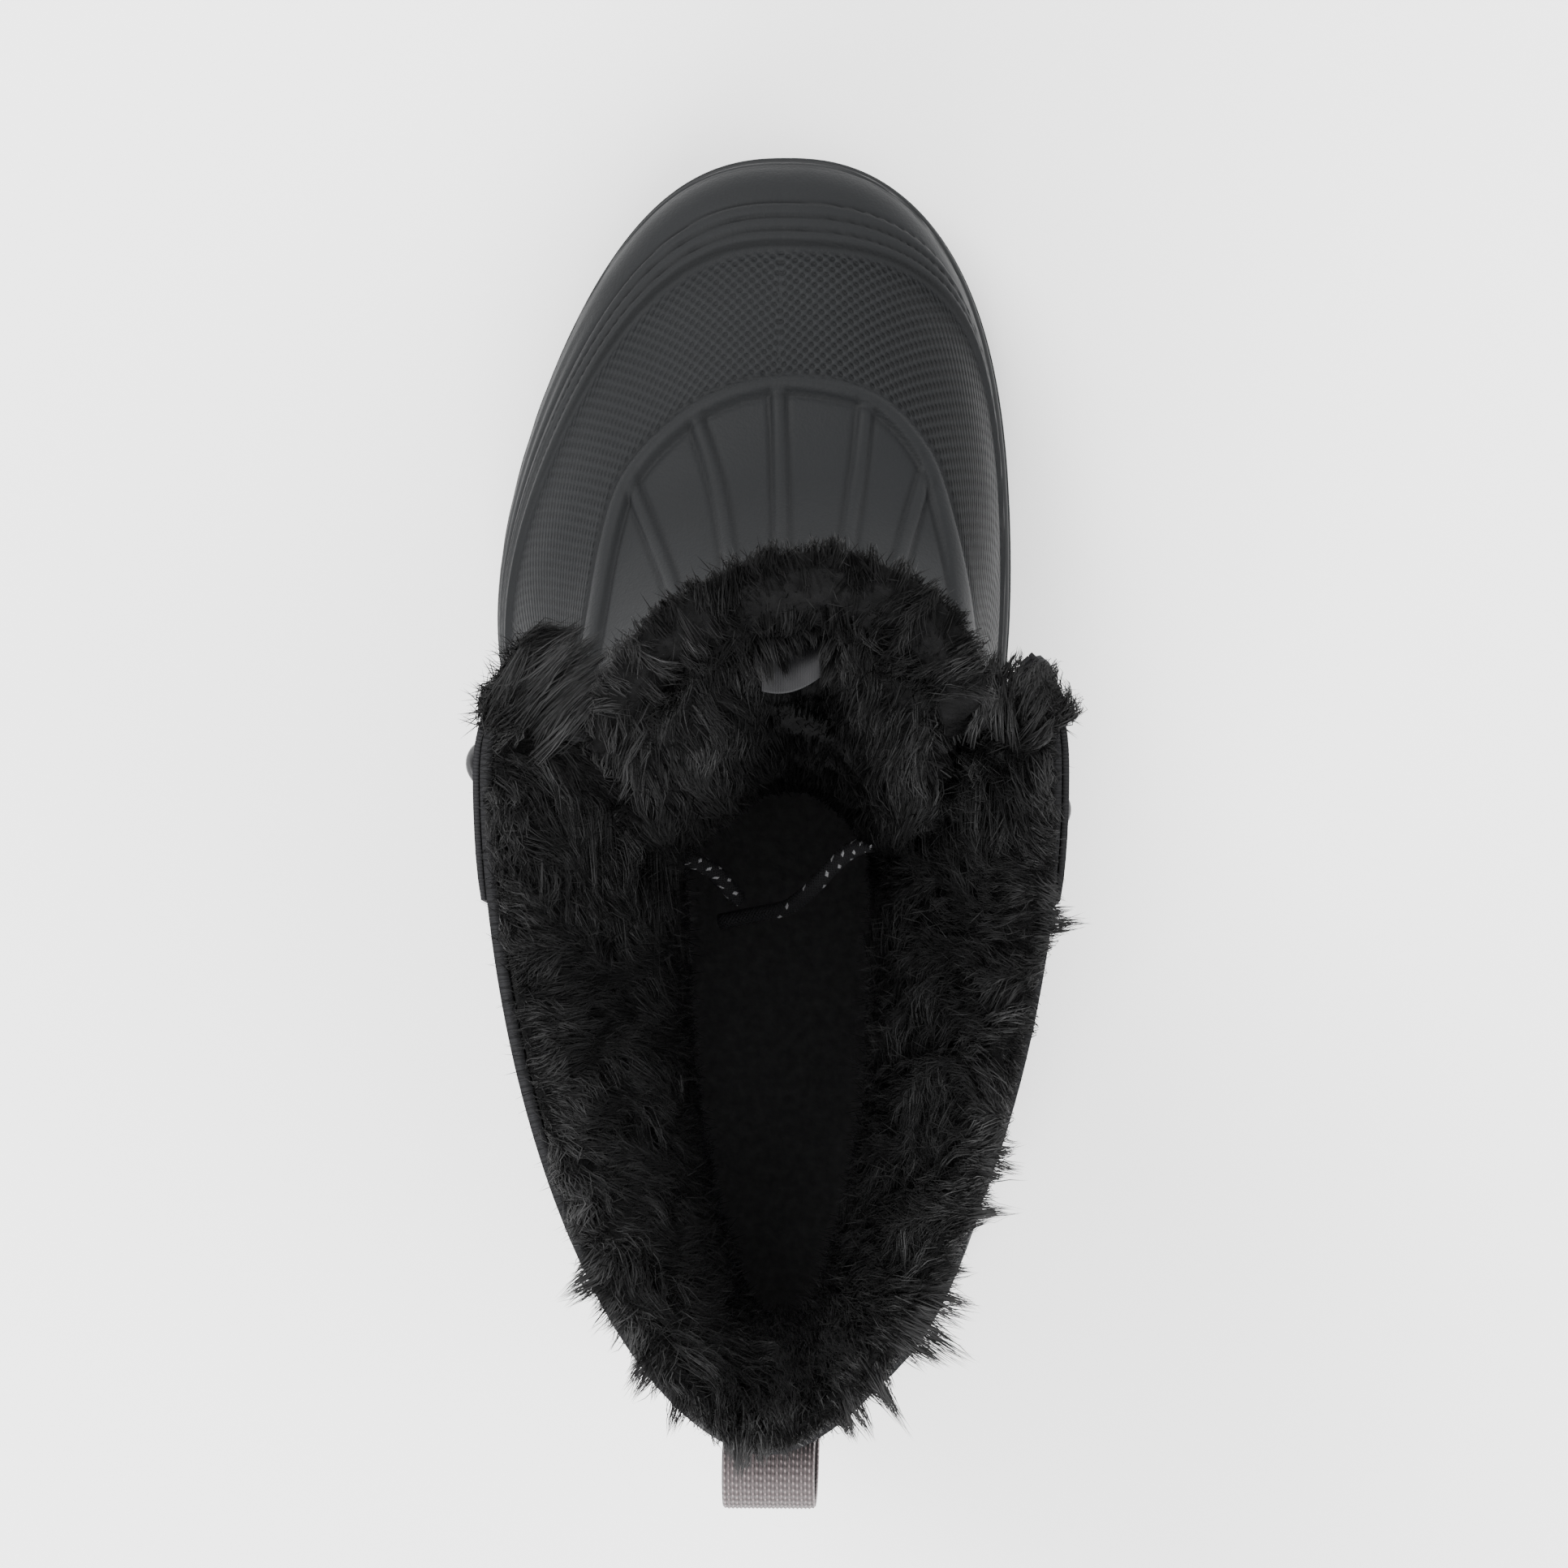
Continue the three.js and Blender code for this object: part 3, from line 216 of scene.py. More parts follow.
def run_along(line):
    """Length of a line up to each of its points."""
    return np.concatenate(([0.0], np.cumsum(np.linalg.norm(np.diff(line, axis=0), axis=1))))


# Meshes

def grid_faces(rows, columns, closed=False):
    """Quads of a grid of points numbered row by row; closed where its columns go right round."""
    row, column = np.meshgrid(np.arange(rows - 1), np.arange(columns if closed else columns - 1),
                              indexing="ij")
    right = (column + 1) % columns
    quads = np.stack((row * columns + column, row * columns + right,
                      (row + 1) * columns + right, (row + 1) * columns + column), -1)
    return quads.reshape(-1, 4)


def bridge(low, high, columns, closed=True):
    """Quads between two rows of points, each given by the number of its first point."""
    steps = np.arange(columns if closed else columns - 1)
    ahead = (steps + 1) % columns
    return np.stack((steps + low, ahead + low, ahead + high, steps + high), -1)


def two_sided(outer, inner):
    """Points and quads of a thin body between two grids."""
    rows, columns = outer.shape[:2]
    count = rows * columns
    points = np.concatenate((outer.reshape(-1, 3), inner.reshape(-1, 3)))
    skin = grid_faces(rows, columns)
    top = (rows - 1) * columns
    climb = np.arange(rows - 1) * columns
    near = np.stack((climb, climb + columns, climb + columns + count, climb + count), -1)
    far = near + columns - 1
    return points, np.concatenate((skin, skin[:, ::-1] + count, bridge(count, 0, columns, False),
                                   bridge(top, top + count, columns, False), near, far[:, ::-1]))


def capped(rings):
    """Closed body of some rings of points, with a fan over the first and the last."""
    rows, count = rings.shape[:2]
    points = np.concatenate((rings.reshape(-1, 3), rings[0].mean(0)[None], rings[-1].mean(0)[None]))
    steps = np.arange(count)
    ahead = (steps + 1) % count
    first = np.stack((ahead, steps, np.full(count, len(points) - 2)), -1)
    top = (rows - 1) * count
    last = np.stack((steps + top, ahead + top, np.full(count, len(points) - 1)), -1)
    return points, grid_faces(rows, count, True), np.concatenate((first, last))


def tube(line, radius, sides, across=None):
    """Points and faces of a closed tube along a line, with one radius or one for each point."""
    count = len(line)
    along = unit(np.gradient(line, axis=0))
    side = np.zeros_like(line)
    guide = np.array((0.0, 0.0, 1.0)) if across is None else np.asarray(across, float)
    for k in range(count):
        guide = guide - along[k] * guide.dot(along[k])
        if np.linalg.norm(guide) < 1e-6:
            guide = np.cross(along[k], (1.0, 0.3, 0.2))
        guide = guide / np.linalg.norm(guide)
        side[k] = guide
    other = np.cross(along, side)
    turn = np.linspace(0, TURN, sides + 1)
    reach = np.broadcast_to(np.asarray(radius, float), (count,))[:, None, None]
    ring = side[:, None] * np.cos(turn)[None, :, None] + other[:, None] * np.sin(turn)[None, :, None]
    points = (line[:, None] + ring * reach).reshape(-1, 3)
    points = np.concatenate((points, line[:1], line[-1:]))
    steps = np.arange(sides)
    first = np.stack((steps + 1, steps, np.full(sides, len(points) - 2)), -1)
    base = (count - 1) * (sides + 1)
    last = np.stack((steps + base, steps + base + 1, np.full(sides, len(points) - 1)), -1)
    return points, grid_faces(count, sides + 1), np.concatenate((first, last))


def joined(bodies):
    """One set of points and faces from several bodies, each (points, faces, ...)."""
    points, faces, start = [], {3: [], 4: []}, 0
    for body in bodies:
        points.append(body[0])
        for face in body[1:]:
            faces[face.shape[1]].append(face + start)
        start += len(body[0])
    return (np.concatenate(points), *(np.concatenate(group) for group in faces.values() if group))


def facing_out(body):
    """The same body, its faces turned so that its volume is positive."""
    points, *faces = body
    volume = 0.0
    for face in faces:
        for k in range(2, face.shape[1]):
            a, b, c = points[face[:, 0]], points[face[:, k - 1]], points[face[:, k]]
            volume += np.einsum("ij,ij->", a, np.cross(b, c))
    return body if volume > 0 else (points, *(face[:, ::-1] for face in faces))


def placed(name, data):
    """Object of some data, in the scene."""
    made = bpy.data.objects.new(name, data)
    bpy.context.scene.collection.objects.link(made)
    return made


def dressed(made, finish, replaced=()):
    """Gives a piece its finish, its slot and its place on the boot."""
    made.data.materials.clear()
    made.data.materials.append(finish_of(finish))
    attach(made, "root")
    if replaced:
        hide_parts(*replaced)
    return made


def piece(name, body, finish, replaced=(), extras=None, turn_out=True):
    """Piece from (points, faces, ...) in millimetres, riding on the boot."""
    points, *faces = facing_out(body) if turn_out else body
    mesh = bpy.data.meshes.new(name)
    mesh.vertices.add(len(points))
    mesh.vertices.foreach_set("co", ((points + SHIFT) * MM).astype(np.float32).ravel())
    corners = np.concatenate([face.ravel() for face in faces]).astype(np.int32)
    counts = np.concatenate([np.full(len(face), face.shape[1]) for face in faces])
    mesh.loops.add(len(corners))
    mesh.loops.foreach_set("vertex_index", corners)
    mesh.polygons.add(len(counts))
    mesh.polygons.foreach_set("loop_start", (np.cumsum(counts) - counts).astype(np.int32))
    mesh.polygons.foreach_set("use_smooth", np.ones(len(counts), bool))
    for key, values in (extras or {}).items():
        kind = "FLOAT" if values.ndim == 1 else "FLOAT_VECTOR"
        layer = mesh.attributes.new(key, kind, "POINT")
        layer.data.foreach_set("value" if kind == "FLOAT" else "vector",
                               values.astype(np.float32).ravel())
    mesh.update(calc_edges=True)
    mesh.validate()
    return dressed(placed(name, mesh), finish, replaced)


def sharpen(made, degrees):
    """Keeps the crisp edges of a smooth-shaded piece."""
    made.data.set_sharp_from_angle(angle=math.radians(degrees))


def soften(made, width, degrees):
    """Rounds the edges of a piece."""
    bevel = made.modifiers.new("soft edges", "BEVEL")
    bevel.width, bevel.segments, bevel.limit_method = width, 2, "ANGLE"
    bevel.angle_limit = math.radians(degrees)


def smooth_line(corners, count):
    """Centripetal curve through some points, with evenly spaced steps."""
    corners = np.asarray(corners, float)
    ends = (2 * corners[:1] - corners[1:2], 2 * corners[-1:] - corners[-2:-1])
    knots = np.concatenate((ends[0], corners, ends[1]))
    line = []
    for k in range(1, len(knots) - 2):
        p = knots[k - 1:k + 3]
        t = np.concatenate(([0.0], np.cumsum(np.linalg.norm(np.diff(p, axis=0), axis=1) ** 0.5)))
        s = np.linspace(t[1], t[2], 24, endpoint=False)[:, None]
        a = [(t[i + 1] - s) / (t[i + 1] - t[i]) * p[i] + (s - t[i]) / (t[i + 1] - t[i]) * p[i + 1]
             for i in range(3)]
        b = [(t[i + 2] - s) / (t[i + 2] - t[i]) * a[i] + (s - t[i]) / (t[i + 2] - t[i]) * a[i + 1]
             for i in range(2)]
        line.append((t[2] - s) / (t[2] - t[1]) * b[0] + (s - t[1]) / (t[2] - t[1]) * b[1])
    line = np.concatenate(line + [corners[-1:]])
    run = run_along(line)
    return sampled(line, run, np.linspace(0, run[-1], count))


def sampled(line, run, places):
    """Points or directions of a line at some lengths along it."""
    return np.stack([np.interp(places, run, line[:, axis]) for axis in range(3)], -1)


def flat_line(corners, count):
    """Smooth curve in a plane through corners of two numbers each."""
    return smooth_line(np.column_stack((corners, np.zeros(len(corners)))), count)[:, :2]


def distance_to(places, corners):
    """Distance of some places in plan from a line through corners."""
    best = np.full(places.shape[:-1], 1e9)
    for start, end in zip(corners[:-1], corners[1:]):
        run = end - start
        t = np.clip(((places - start) @ run) / run.dot(run), 0, 1)
        best = np.minimum(best, np.linalg.norm(places - start - t[..., None] * run, axis=-1))
    return best


# Finishes

def scaled(color, factor):
    """A colour times a factor, at most one."""
    return tuple(min(c * factor, 1) for c in color)


class Finish:
    """A material with a few short ways to add to its nodes."""

    def __init__(self, name, color, roughness, **sockets):
        self.material = bpy.data.materials.new(name)
        self.material.use_nodes = True
        self.tree = self.material.node_tree
        self.shader = self.tree.nodes["Principled BSDF"]
        self.shader.inputs["Base Color"].default_value = (*color, 1)
        self.shader.inputs["Roughness"].default_value = roughness
        for key, value in sockets.items():
            self.shader.inputs[key.replace("_", " ")].default_value = value
        self.color = tuple(color)
        self.height = None

    def node(self, kind, links=None, **settings):
        made = self.tree.nodes.new(kind)
        for key, value in settings.items():
            setattr(made, key, value)
        for key, value in (links or {}).items():
            if isinstance(value, bpy.types.NodeSocket):
                self.tree.links.new(value, made.inputs[key])
            else:
                made.inputs[key].default_value = value
        return made

    def math(self, operation, a, b=0.0):
        return self.node("ShaderNodeMath", {0: a, 1: b}, operation=operation).outputs[0]

    def times(self, a, b):
        return self.math("MULTIPLY", a, b)

    def above(self, value, limit):
        return self.math("GREATER_THAN", value, limit)

    def share(self, waves):
        """Waves between -1 and 1 as a share between 0 and 1."""
        return self.node("ShaderNodeMath", {0: waves, 1: 0.5, 2: 0.5},
                         operation="MULTIPLY_ADD").outputs[0]

    def between(self, share, low, high):
        return self.node("ShaderNodeMapRange", {0: share, 3: low, 4: high}).outputs[0]

    def feed(self, key, socket):
        self.tree.links.new(socket, self.shader.inputs[key])

    def place(self):
        return self.node("ShaderNodeTexCoord").outputs["Object"]

    def attribute(self, name, output="Vector"):
        return self.node("ShaderNodeAttribute", attribute_name=name).outputs[output]

    def noise(self, scale, detail):
        return self.node("ShaderNodeTexNoise", {"Vector": self.place(), "Scale": scale,
                                                "Detail": detail}).outputs["Fac"]

    def cells(self, scale):
        return self.node("ShaderNodeTexVoronoi", {"Vector": self.place(),
                                                  "Scale": scale}).outputs["Distance"]

    def stripes(self, vector, x, y, period):
        """Waves across a direction of a flat cloth, given in millimetres."""
        split = self.node("ShaderNodeSeparateXYZ", {0: vector}).outputs
        run = self.math("ADD", self.times(split[0], x), self.times(split[1], y))
        return self.math("SINE", self.times(run, TURN / period))

    def shade(self, mask, low, high):
        """Base colour between two multiples of the plain colour."""
        mix = self.node("ShaderNodeMix", {0: mask}, data_type="RGBA")
        mix.inputs[6].default_value = (*scaled(self.color, low), 1)
        mix.inputs[7].default_value = (*scaled(self.color, high), 1)
        self.feed("Base Color", mix.outputs[2])

    def tint(self, mask, color):
        """A second colour where the mask is one, over what is there."""
        mix = self.node("ShaderNodeMix", {0: mask}, data_type="RGBA")
        base = self.shader.inputs["Base Color"]
        if base.links:
            self.tree.links.new(base.links[0].from_socket, mix.inputs[6])
        else:
            mix.inputs[6].default_value = (*self.color, 1)
        mix.inputs[7].default_value = (*color, 1)
        self.feed("Base Color", mix.outputs[2])

    def bump(self, height, distance, strength):
        """Fine relief of some depth in metres, on top of what is there."""
        links = {"Height": height, "Distance": distance, "Strength": strength}
        if self.height:
            links["Normal"] = self.height
        self.height = self.node("ShaderNodeBump", links).outputs[0]
        self.feed("Normal", self.height)

    def vary_roughness(self, mask, low, high):
        self.feed("Roughness", self.between(mask, low, high))


finishes = {}


def finish_of(name):
    """Makes a finish the first time that a piece asks for it."""
    if name not in finishes:
        finishes[name] = FINISH_MAKERS[name](bpy.context.scene.snow_boot_colours).material
    return finishes[name]


def rubber_finish(colours):
    f = Finish("boot_rubber", colours.rubber, 0.54, Specular_IOR_Level=0.10)
    f.shade(f.noise(28, 4), 0.86, 1.14)
    weave = f.node("ShaderNodeSeparateXYZ", {0: f.attribute("weave")}).outputs
    first = f.math("COSINE", f.times(weave[0], TURN))
    second = f.math("COSINE", f.times(weave[1], TURN))
    cells = f.times(f.math("ADD", first, second), 0.5)
    pits = f.times(f.math("MAXIMUM", f.times(cells, -1.0), 0.0), weave[2])
    tops = f.times(f.math("MAXIMUM", cells, 0.0), weave[2])
    # Painted shade: darker in the weave's pits, in the band's grooves, beside the ribs and the arch
    # ridge, and over the woven part of the inner side.
    f.tint(f.times(pits, 0.75), scaled(colours.rubber, 0.35))
    f.tint(f.times(f.attribute("groove", "Fac"), 0.55), scaled(colours.rubber, 0.4))
    f.tint(f.times(f.times(tops, f.noise(420, 3)), 0.5), scaled(colours.rubber, 1.9))
    f.bump(f.math("SUBTRACT", f.times(tops, 0.4), pits), 0.0006, 0.9)
    f.bump(f.cells(1500), 0.00009, 0.5)
    f.bump(f.noise(700, 5), 0.00016, 0.5)
    f.vary_roughness(f.noise(60, 5), 0.48, 0.64)
    return f


def sole_finish(colours):
    f = Finish("boot_sole_rubber", colours.sole, 0.66, Specular_IOR_Level=0.16)
    f.shade(f.noise(22, 5), 0.8, 1.2)
    f.bump(f.noise(900, 4), 0.00012, 0.5)
    f.vary_roughness(f.noise(45, 4), 0.58, 0.76)
    return f


def nylon_finish(colours):
    f = Finish("boot_nylon", colours.nylon, 0.78, Specular_IOR_Level=0.16)
    cloth = f.attribute("cloth")
    twill = f.stripes(cloth, 1, 1, 1.0)
    picks = f.stripes(cloth, 0.35, -1, 0.55)
    weave = f.math("MAXIMUM", twill, f.times(picks, 0.7))
    f.shade(f.share(weave), 0.55, 1.5)
    f.bump(weave, 0.00018, 0.8)
    f.bump(f.noise(55, 3), 0.0012, 0.25)
    return f


def webbing_finish(colours):
    f = Finish("boot_webbing", colours.webbing, 0.8, Specular_IOR_Level=0.16)
    cloth = f.attribute("cloth")
    ribs = f.stripes(cloth, 0, 1, 1.15)
    threads = f.stripes(cloth, 1, 0, 0.8)
    weave = f.math("ADD", f.times(ribs, 0.6), f.times(f.times(ribs, threads), 0.5))
    f.shade(f.share(weave), 0.5, 1.7)
    f.bump(weave, 0.00028, 0.9)
    return f


def loop_webbing_finish(colours):
    f = Finish("boot_loop_webbing", colours.loop_webbing, 0.75, Sheen_Weight=0.2)
    cloth = f.attribute("cloth")
    ribs = f.stripes(cloth, 1, 0, 0.88)
    rows = f.stripes(cloth, 0, 1, 1.5)
    shifted = f.stripes(cloth, 0.57, 1, 1.5)
    knots = f.times(f.math("MAXIMUM", ribs, 0.0), f.math("MAXIMUM", shifted, 0.0))
    f.shade(f.share(ribs), 0.35, 1.1)
    f.tint(f.times(f.above(knots, 0.3), f.noise(1500, 2)), colours.loop_threads)
    f.bump(f.math("ADD", ribs, f.times(rows, 0.4)), 0.0003, 0.8)
    return f


def lace_finish(colours):
    f = Finish("boot_lace_braid", colours.lace, 0.7, Specular_IOR_Level=0.2)
    braid = f.attribute("cloth")
    right = f.stripes(braid, 1, 1, 1.0)
    left = f.stripes(braid, 1, -1, 1.0)
    weave = f.math("MAXIMUM", right, left)
    f.shade(f.share(weave), 0.5, 1.7)
    fleck = f.times(f.above(f.stripes(braid, 0.25, 0, 1.0), 0.55),
                    f.above(f.stripes(braid, 0.5, 1, 3.0), 0.62))
    f.tint(f.times(fleck, f.above(f.noise(75, 1), 0.5)), colours.lace_flecks)
    f.bump(weave, 0.00022, 0.9)
    return f


def satin_finish(colours):
    f = Finish("boot_satin", colours.satin, 0.5, Specular_IOR_Level=0.2, Anisotropic=0.4)
    cloth = f.attribute("cloth")
    threads = f.stripes(cloth, 1, 0, 0.34)
    f.shade(f.share(threads), 0.75, 1.25)
    f.bump(threads, 0.00006, 0.6)
    f.bump(f.noise(140, 3), 0.0006, 0.5)
    return f


def plastic_finish(colours):
    f = Finish("boot_plastic", colours.plastic, 0.4, Specular_IOR_Level=0.5)
    f.shade(f.noise(90, 3), 0.8, 1.25)
    f.bump(f.noise(1600, 2), 0.00005, 0.5)
    f.vary_roughness(f.noise(130, 3), 0.32, 0.5)
    return f


def felt_finish(colours):
    f = Finish("boot_felt", colours.felt, 0.95, Sheen_Weight=0.4, Sheen_Roughness=0.5)
    f.shade(f.noise(420, 6), 0.5, 1.6)
    f.bump(f.noise(900, 6), 0.0005, 0.8)
    return f


def pile_base_finish(colours):
    f = Finish("boot_pile_base", colours.pile_base, 0.95, Specular_IOR_Level=0.03)
    f.shade(f.noise(320, 6), 0.3, 1.8)
    f.bump(f.noise(500, 6), 0.0016, 0.9)
    return f


def pile_finish(colours):
    f = Finish("boot_pile_hair", colours.pile, 0.55)
    # The lock attribute holds each hair's own tone with painted light and shade; it sets both the
    # colour and the specular level.
    tone_and_painted_light = f.attribute("tone_and_painted_light", "Fac")
    f.shade(tone_and_painted_light, 0.1, 2.1)
    f.feed("Specular IOR Level", f.between(tone_and_painted_light, 0.01, 0.27))
    return f


def stitch_finish(colours):
    f = Finish("boot_stitches", colours.stitches, 0.6, Sheen_Weight=0.2)
    f.shade(f.noise(2500, 2), 0.6, 1.4)
    f.bump(f.noise(3000, 2), 0.00006, 0.6)
    return f


def floor_finish(colours):
    f = Finish("studio_floor", colours.floor, 0.9, Specular_IOR_Level=0.1)
    f.shade(f.noise(3, 2), 0.995, 1.005)
    return f


FINISH_MAKERS = {
    "rubber": rubber_finish, "sole": sole_finish, "nylon": nylon_finish,
    "webbing": webbing_finish, "loop_webbing": loop_webbing_finish, "lace": lace_finish,
    "satin": satin_finish, "plastic": plastic_finish, "felt": felt_finish,
    "pile_base": pile_base_finish, "pile": pile_finish, "stitches": stitch_finish,
    "floor": floor_finish,
}


# Laces and their loops

LOWER_LOOPS = ((0.13, 0.122), (0.33, 0.158), (0.53, 0.184))
LOOP_PLACES = {-1: (*LOWER_LOOPS, (0.78, 0.213)), 1: (*LOWER_LOOPS, (0.64, 0.232))}
LACE_LEVEL = STAY_OUTER + GAP + LACE_RADIUS + 0.4
LACE_UNDER_ARCH = 5.25
LACE_STEP_ASIDE = 8.0
LACE_STEP_UP = 4.5

# The ends run from the top loops round the quarters' front edges and down into the boot.
LACE_END_LEFT = (
    (-58.9, 13.5, 195.6), (-56, 22.5, 197), (-50.5, 31.5, 197.5), (-46.2, 26, 198),
    (-45.8, 17, 194.5), (-46, 9.5, 190.5), (-45.4, 2, 185), (-37, -7, 170), (-28, -12.5, 150),
    (-19, -16, 132), (-13, -19.5, 123), (-8, -26, 115),
)
LACE_END_RIGHT = (
    (65.5, 2.5, 181.5), (66, 9, 187.5), (65, 19, 193), (62, 28.6, 196.5), (56.6, 23, 198.5),
    (55.6, 13, 195), (51, 1, 186), (42, -7, 170), (31, -12, 150), (19, -14, 132), (9, -23.5, 121),
    (3.5, -27.8, 114.5), (-3.5, -29.5, 110), (-12.5, -31.5, 107),
)


class LoopFrame:
    """Place and directions of one lace loop on the side of the throat."""

    def __init__(self, side, index):
        rise, away = LOOP_PLACES[side][index]
        self.side = side
        self.angle = FRONT - side * away * TURN
        self.height = throat_height(rise)
        self.out = form_normal(self.angle, self.height)
        self.along = unit(np.cross((0.0, 0.0, 1.0), self.out))
        self.up = unit(np.cross(self.out, self.along))
        self.origin = form_point(self.angle, self.height)
        beside = form_point(self.angle + 0.05, self.height)
        self.reach = np.linalg.norm(beside - form_point(self.angle - 0.05, self.height)) / 0.1

    def point(self, along, up, out):
        along, up, out = (np.asarray(v, float)[..., None] for v in (along, up, out))
        return self.origin + self.along * along + self.up * up + self.out * out


def lace_lift(angle, height):
    """How far a crossing stands out to pass over the tongue."""
    tongue_y = tongue_face(0.0, height)[..., 1]
    proud = tongue_y - form_point(FRONT, height)[..., 1] + LACE_RADIUS + 1.6
    return np.maximum(0, proud - LACE_LEVEL) * np.exp(-(((angle - FRONT) / 0.9) ** 4))


def crossing(start, end):
    """Lace between two loops over the front of the boot, clear of both arches."""
    first, last = (loop.angle + loop.side * LACE_STEP_ASIDE / loop.reach for loop in (start, end))
    share = np.linspace(0, 1, 9)
    angle = first + share * (last - first)
    step = LACE_STEP_UP if end.height > start.height else 0.0
    low, high = start.height + step, end.height - step
    height = low + share * (high - low)
    return skin_point(angle, height, LACE_LEVEL + lace_lift(angle, height))


def through(loop):
    """Points under a loop's arch, from below it to above it."""
    toward = loop.side * np.array((4.0, 0.8, 0.8, 4.0))
    return loop.point(toward, (-4.6, -2.0, 2.0, 4.6), np.full(4, LACE_UNDER_ARCH))


def lace_route():
    """One lace from the left top loop down to the bar and up to the right top loop."""
    loops = {side: [LoopFrame(side, k) for k in range(4)] for side in (-1, 1)}
    halves = []
    for side in (-1, 1):
        route = [through(loops[side][0])]
        for k in range(3):
            here = loops[side if k % 2 == 0 else -side][k]
            there = loops[-side if k % 2 == 0 else side][k + 1]
            route += [crossing(here, there), through(there)]
        halves.append(np.concatenate(route))
    bar = crossing(loops[-1][0], loops[1][0])
    return np.concatenate((halves[0][::-1], bar, halves[1]))


def braided_piece(name, line, radius, finish, replaced=(), sides=12):
    """Tube along a line, with a cloth attribute: its way along and round, in millimetres."""
    body = tube(line, radius, sides)
    run = run_along(line)
    cloth = np.zeros((len(body[0]), 3))
    cloth[:-2, 0] = np.repeat(run, sides + 1)
    cloth[:-2, 1] = np.tile(np.linspace(0, TURN * radius, sides + 1), len(line))
    cloth[-2:, 0] = (0, run[-1])
    return piece(name, body, finish, replaced, {"cloth": cloth})


def build_laces():
    sizes = bpy.context.scene.snow_boot_sizes
    radius = sizes.lace_diameter / MM / 2
    braided_piece("lace_run", smooth_line(lace_route(), 720), radius, "lace", ("lace",))
    for name, points in (("left", LACE_END_LEFT), ("right", LACE_END_RIGHT)):
        line = smooth_line(points, 120)
        made = braided_piece(f"lace_tail_{name}", line, radius, "lace",
                             (f"lace_end_{name}",))
        route = [tuple((p + SHIFT) * MM) for p in line]
        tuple(route[0])


def rounded_patch(width, height, corner):
    """Outline of a rounded rectangle, as (along, up) pairs."""
    outline = []
    for k, (sx, sy) in enumerate(((1, 1), (-1, 1), (-1, -1), (1, -1))):
        turn = np.linspace(k, k + 1, 8) * TURN / 4
        outline.append(np.stack((sx * (width / 2 - corner) + corner * np.cos(turn),
                                 sy * (height / 2 - corner) + corner * np.sin(turn)), -1))
    return np.concatenate(outline)


def loop_body(loop):
    """Moulded base with soft edges, an arch over it and a rivet each side."""
    rings = []
    for inset, out in ((0.0, 1.2), (0.0, 2.5), (0.25, 2.95), (0.8, 3.15), (2.6, 3.2), (4.2, 3.2)):
        patch = rounded_patch(15 - 2 * inset, 9 - 2 * inset, max(1.6 - inset, 0.25))
        rings.append(loop.point(patch[:, 0], patch[:, 1], out))
    swing = np.linspace(-0.08, 1.08, 25) * math.pi
    line = loop.point(4.75 * np.cos(swing), 0.0 * swing, 3.0 + 5.6 * np.sin(swing))
    bodies = [facing_out(capped(np.array(rings))), facing_out(tube(line, 1.2, 12, loop.up))]
    turn = np.linspace(0, TURN, 13)[:-1]
    for end in (-1, 1):
        dome = [loop.point(end * 6.0 + r * np.cos(turn), r * np.sin(turn), out)
                for r, out in ((0.95, 3.0), (0.95, 3.35), (0.7, 3.6), (0.25, 3.7))]
        bodies.append((np.concatenate(dome), grid_faces(4, 12, True), np.array(((36, 37, 38, 39),))))
    return joined(bodies)


def build_lace_loops():
    for side, name in ((-1, "left"), (1, "right")):
        for index in range(4):
            made = piece(f"loop_{name}_{index + 1}", loop_body(LoopFrame(side, index)), "plastic",
                         (f"lace_loop_{name}_{index + 1}",), turn_out=False)
            sharpen(made, 50)


# Sole and insole

SOLE_SIDE = np.array((
    (1.00, 0.4), (0.975, 1.0), (0.95, 1.2), (0.85, 1.25), (0.835, 1.1), (0.82, 0.3), (0.79, 0.2),
    (0.765, 0.3), (0.75, 0.95), (0.73, 1.1), (0.56, 1.0), (0.38, 0.7), (0.365, 0.8), (0.355, 1.4),
    (0.34, 1.5), (0.20, 0.6), (0.06, -0.9), (0.02, -1.3), (0.00, -1.9),
))
BALL_ROWS = (-0.02, 0.43)
HEEL_ROWS = (-0.455, -0.27)
LUG_LENGTH = 11.0
LUG_PITCH = 18.0
LUG_LEAN = 0.2
LUG_CHANNEL = 5.0
WELD_DISTANCE = 0.0005
SLAB_SLICES = 240
BOX_FACES = np.array(((3, 2, 1, 0), (4, 5, 6, 7), (0, 1, 5, 4), (1, 2, 6, 5), (2, 3, 7, 6),
                      (3, 0, 4, 7)))


def underside_at(y):
    arch = np.exp(-(((y + 0.135 * FOOT_LENGTH) / (0.1 * FOOT_LENGTH)) ** 4))
    return TREAD_DEPTH + ARCH_RISE * arch


def plan_point(angle, outside, crossing):
    """Point of the sole's plan: on its edge where crossing is 1, on its middle line at 0."""
    level = np.full(angle.shape, SOLE_HEIGHT)
    edge = skin_point(angle, level, outside)
    other = skin_point(math.pi - angle, level, outside)
    middle = (edge[..., 0] + other[..., 0]) / 2
    return np.stack((middle + crossing * (edge[..., 0] - middle),
                     (edge[..., 1] + other[..., 1]) / 2, level), -1)


def sprung(points):
    """Bends the toe up, most at the ground and not at all at the feather line."""
    start = 0.5 * FOOT_LENGTH + SHELL_OUTER - TOE_SPRING_LENGTH
    share = np.maximum(0, (points[:, 1] - start) / TOE_SPRING_LENGTH)
    points[:, 2] += TOE_SPRING * share * share * (1 - points[:, 2] / SOLE_HEIGHT)
    return points


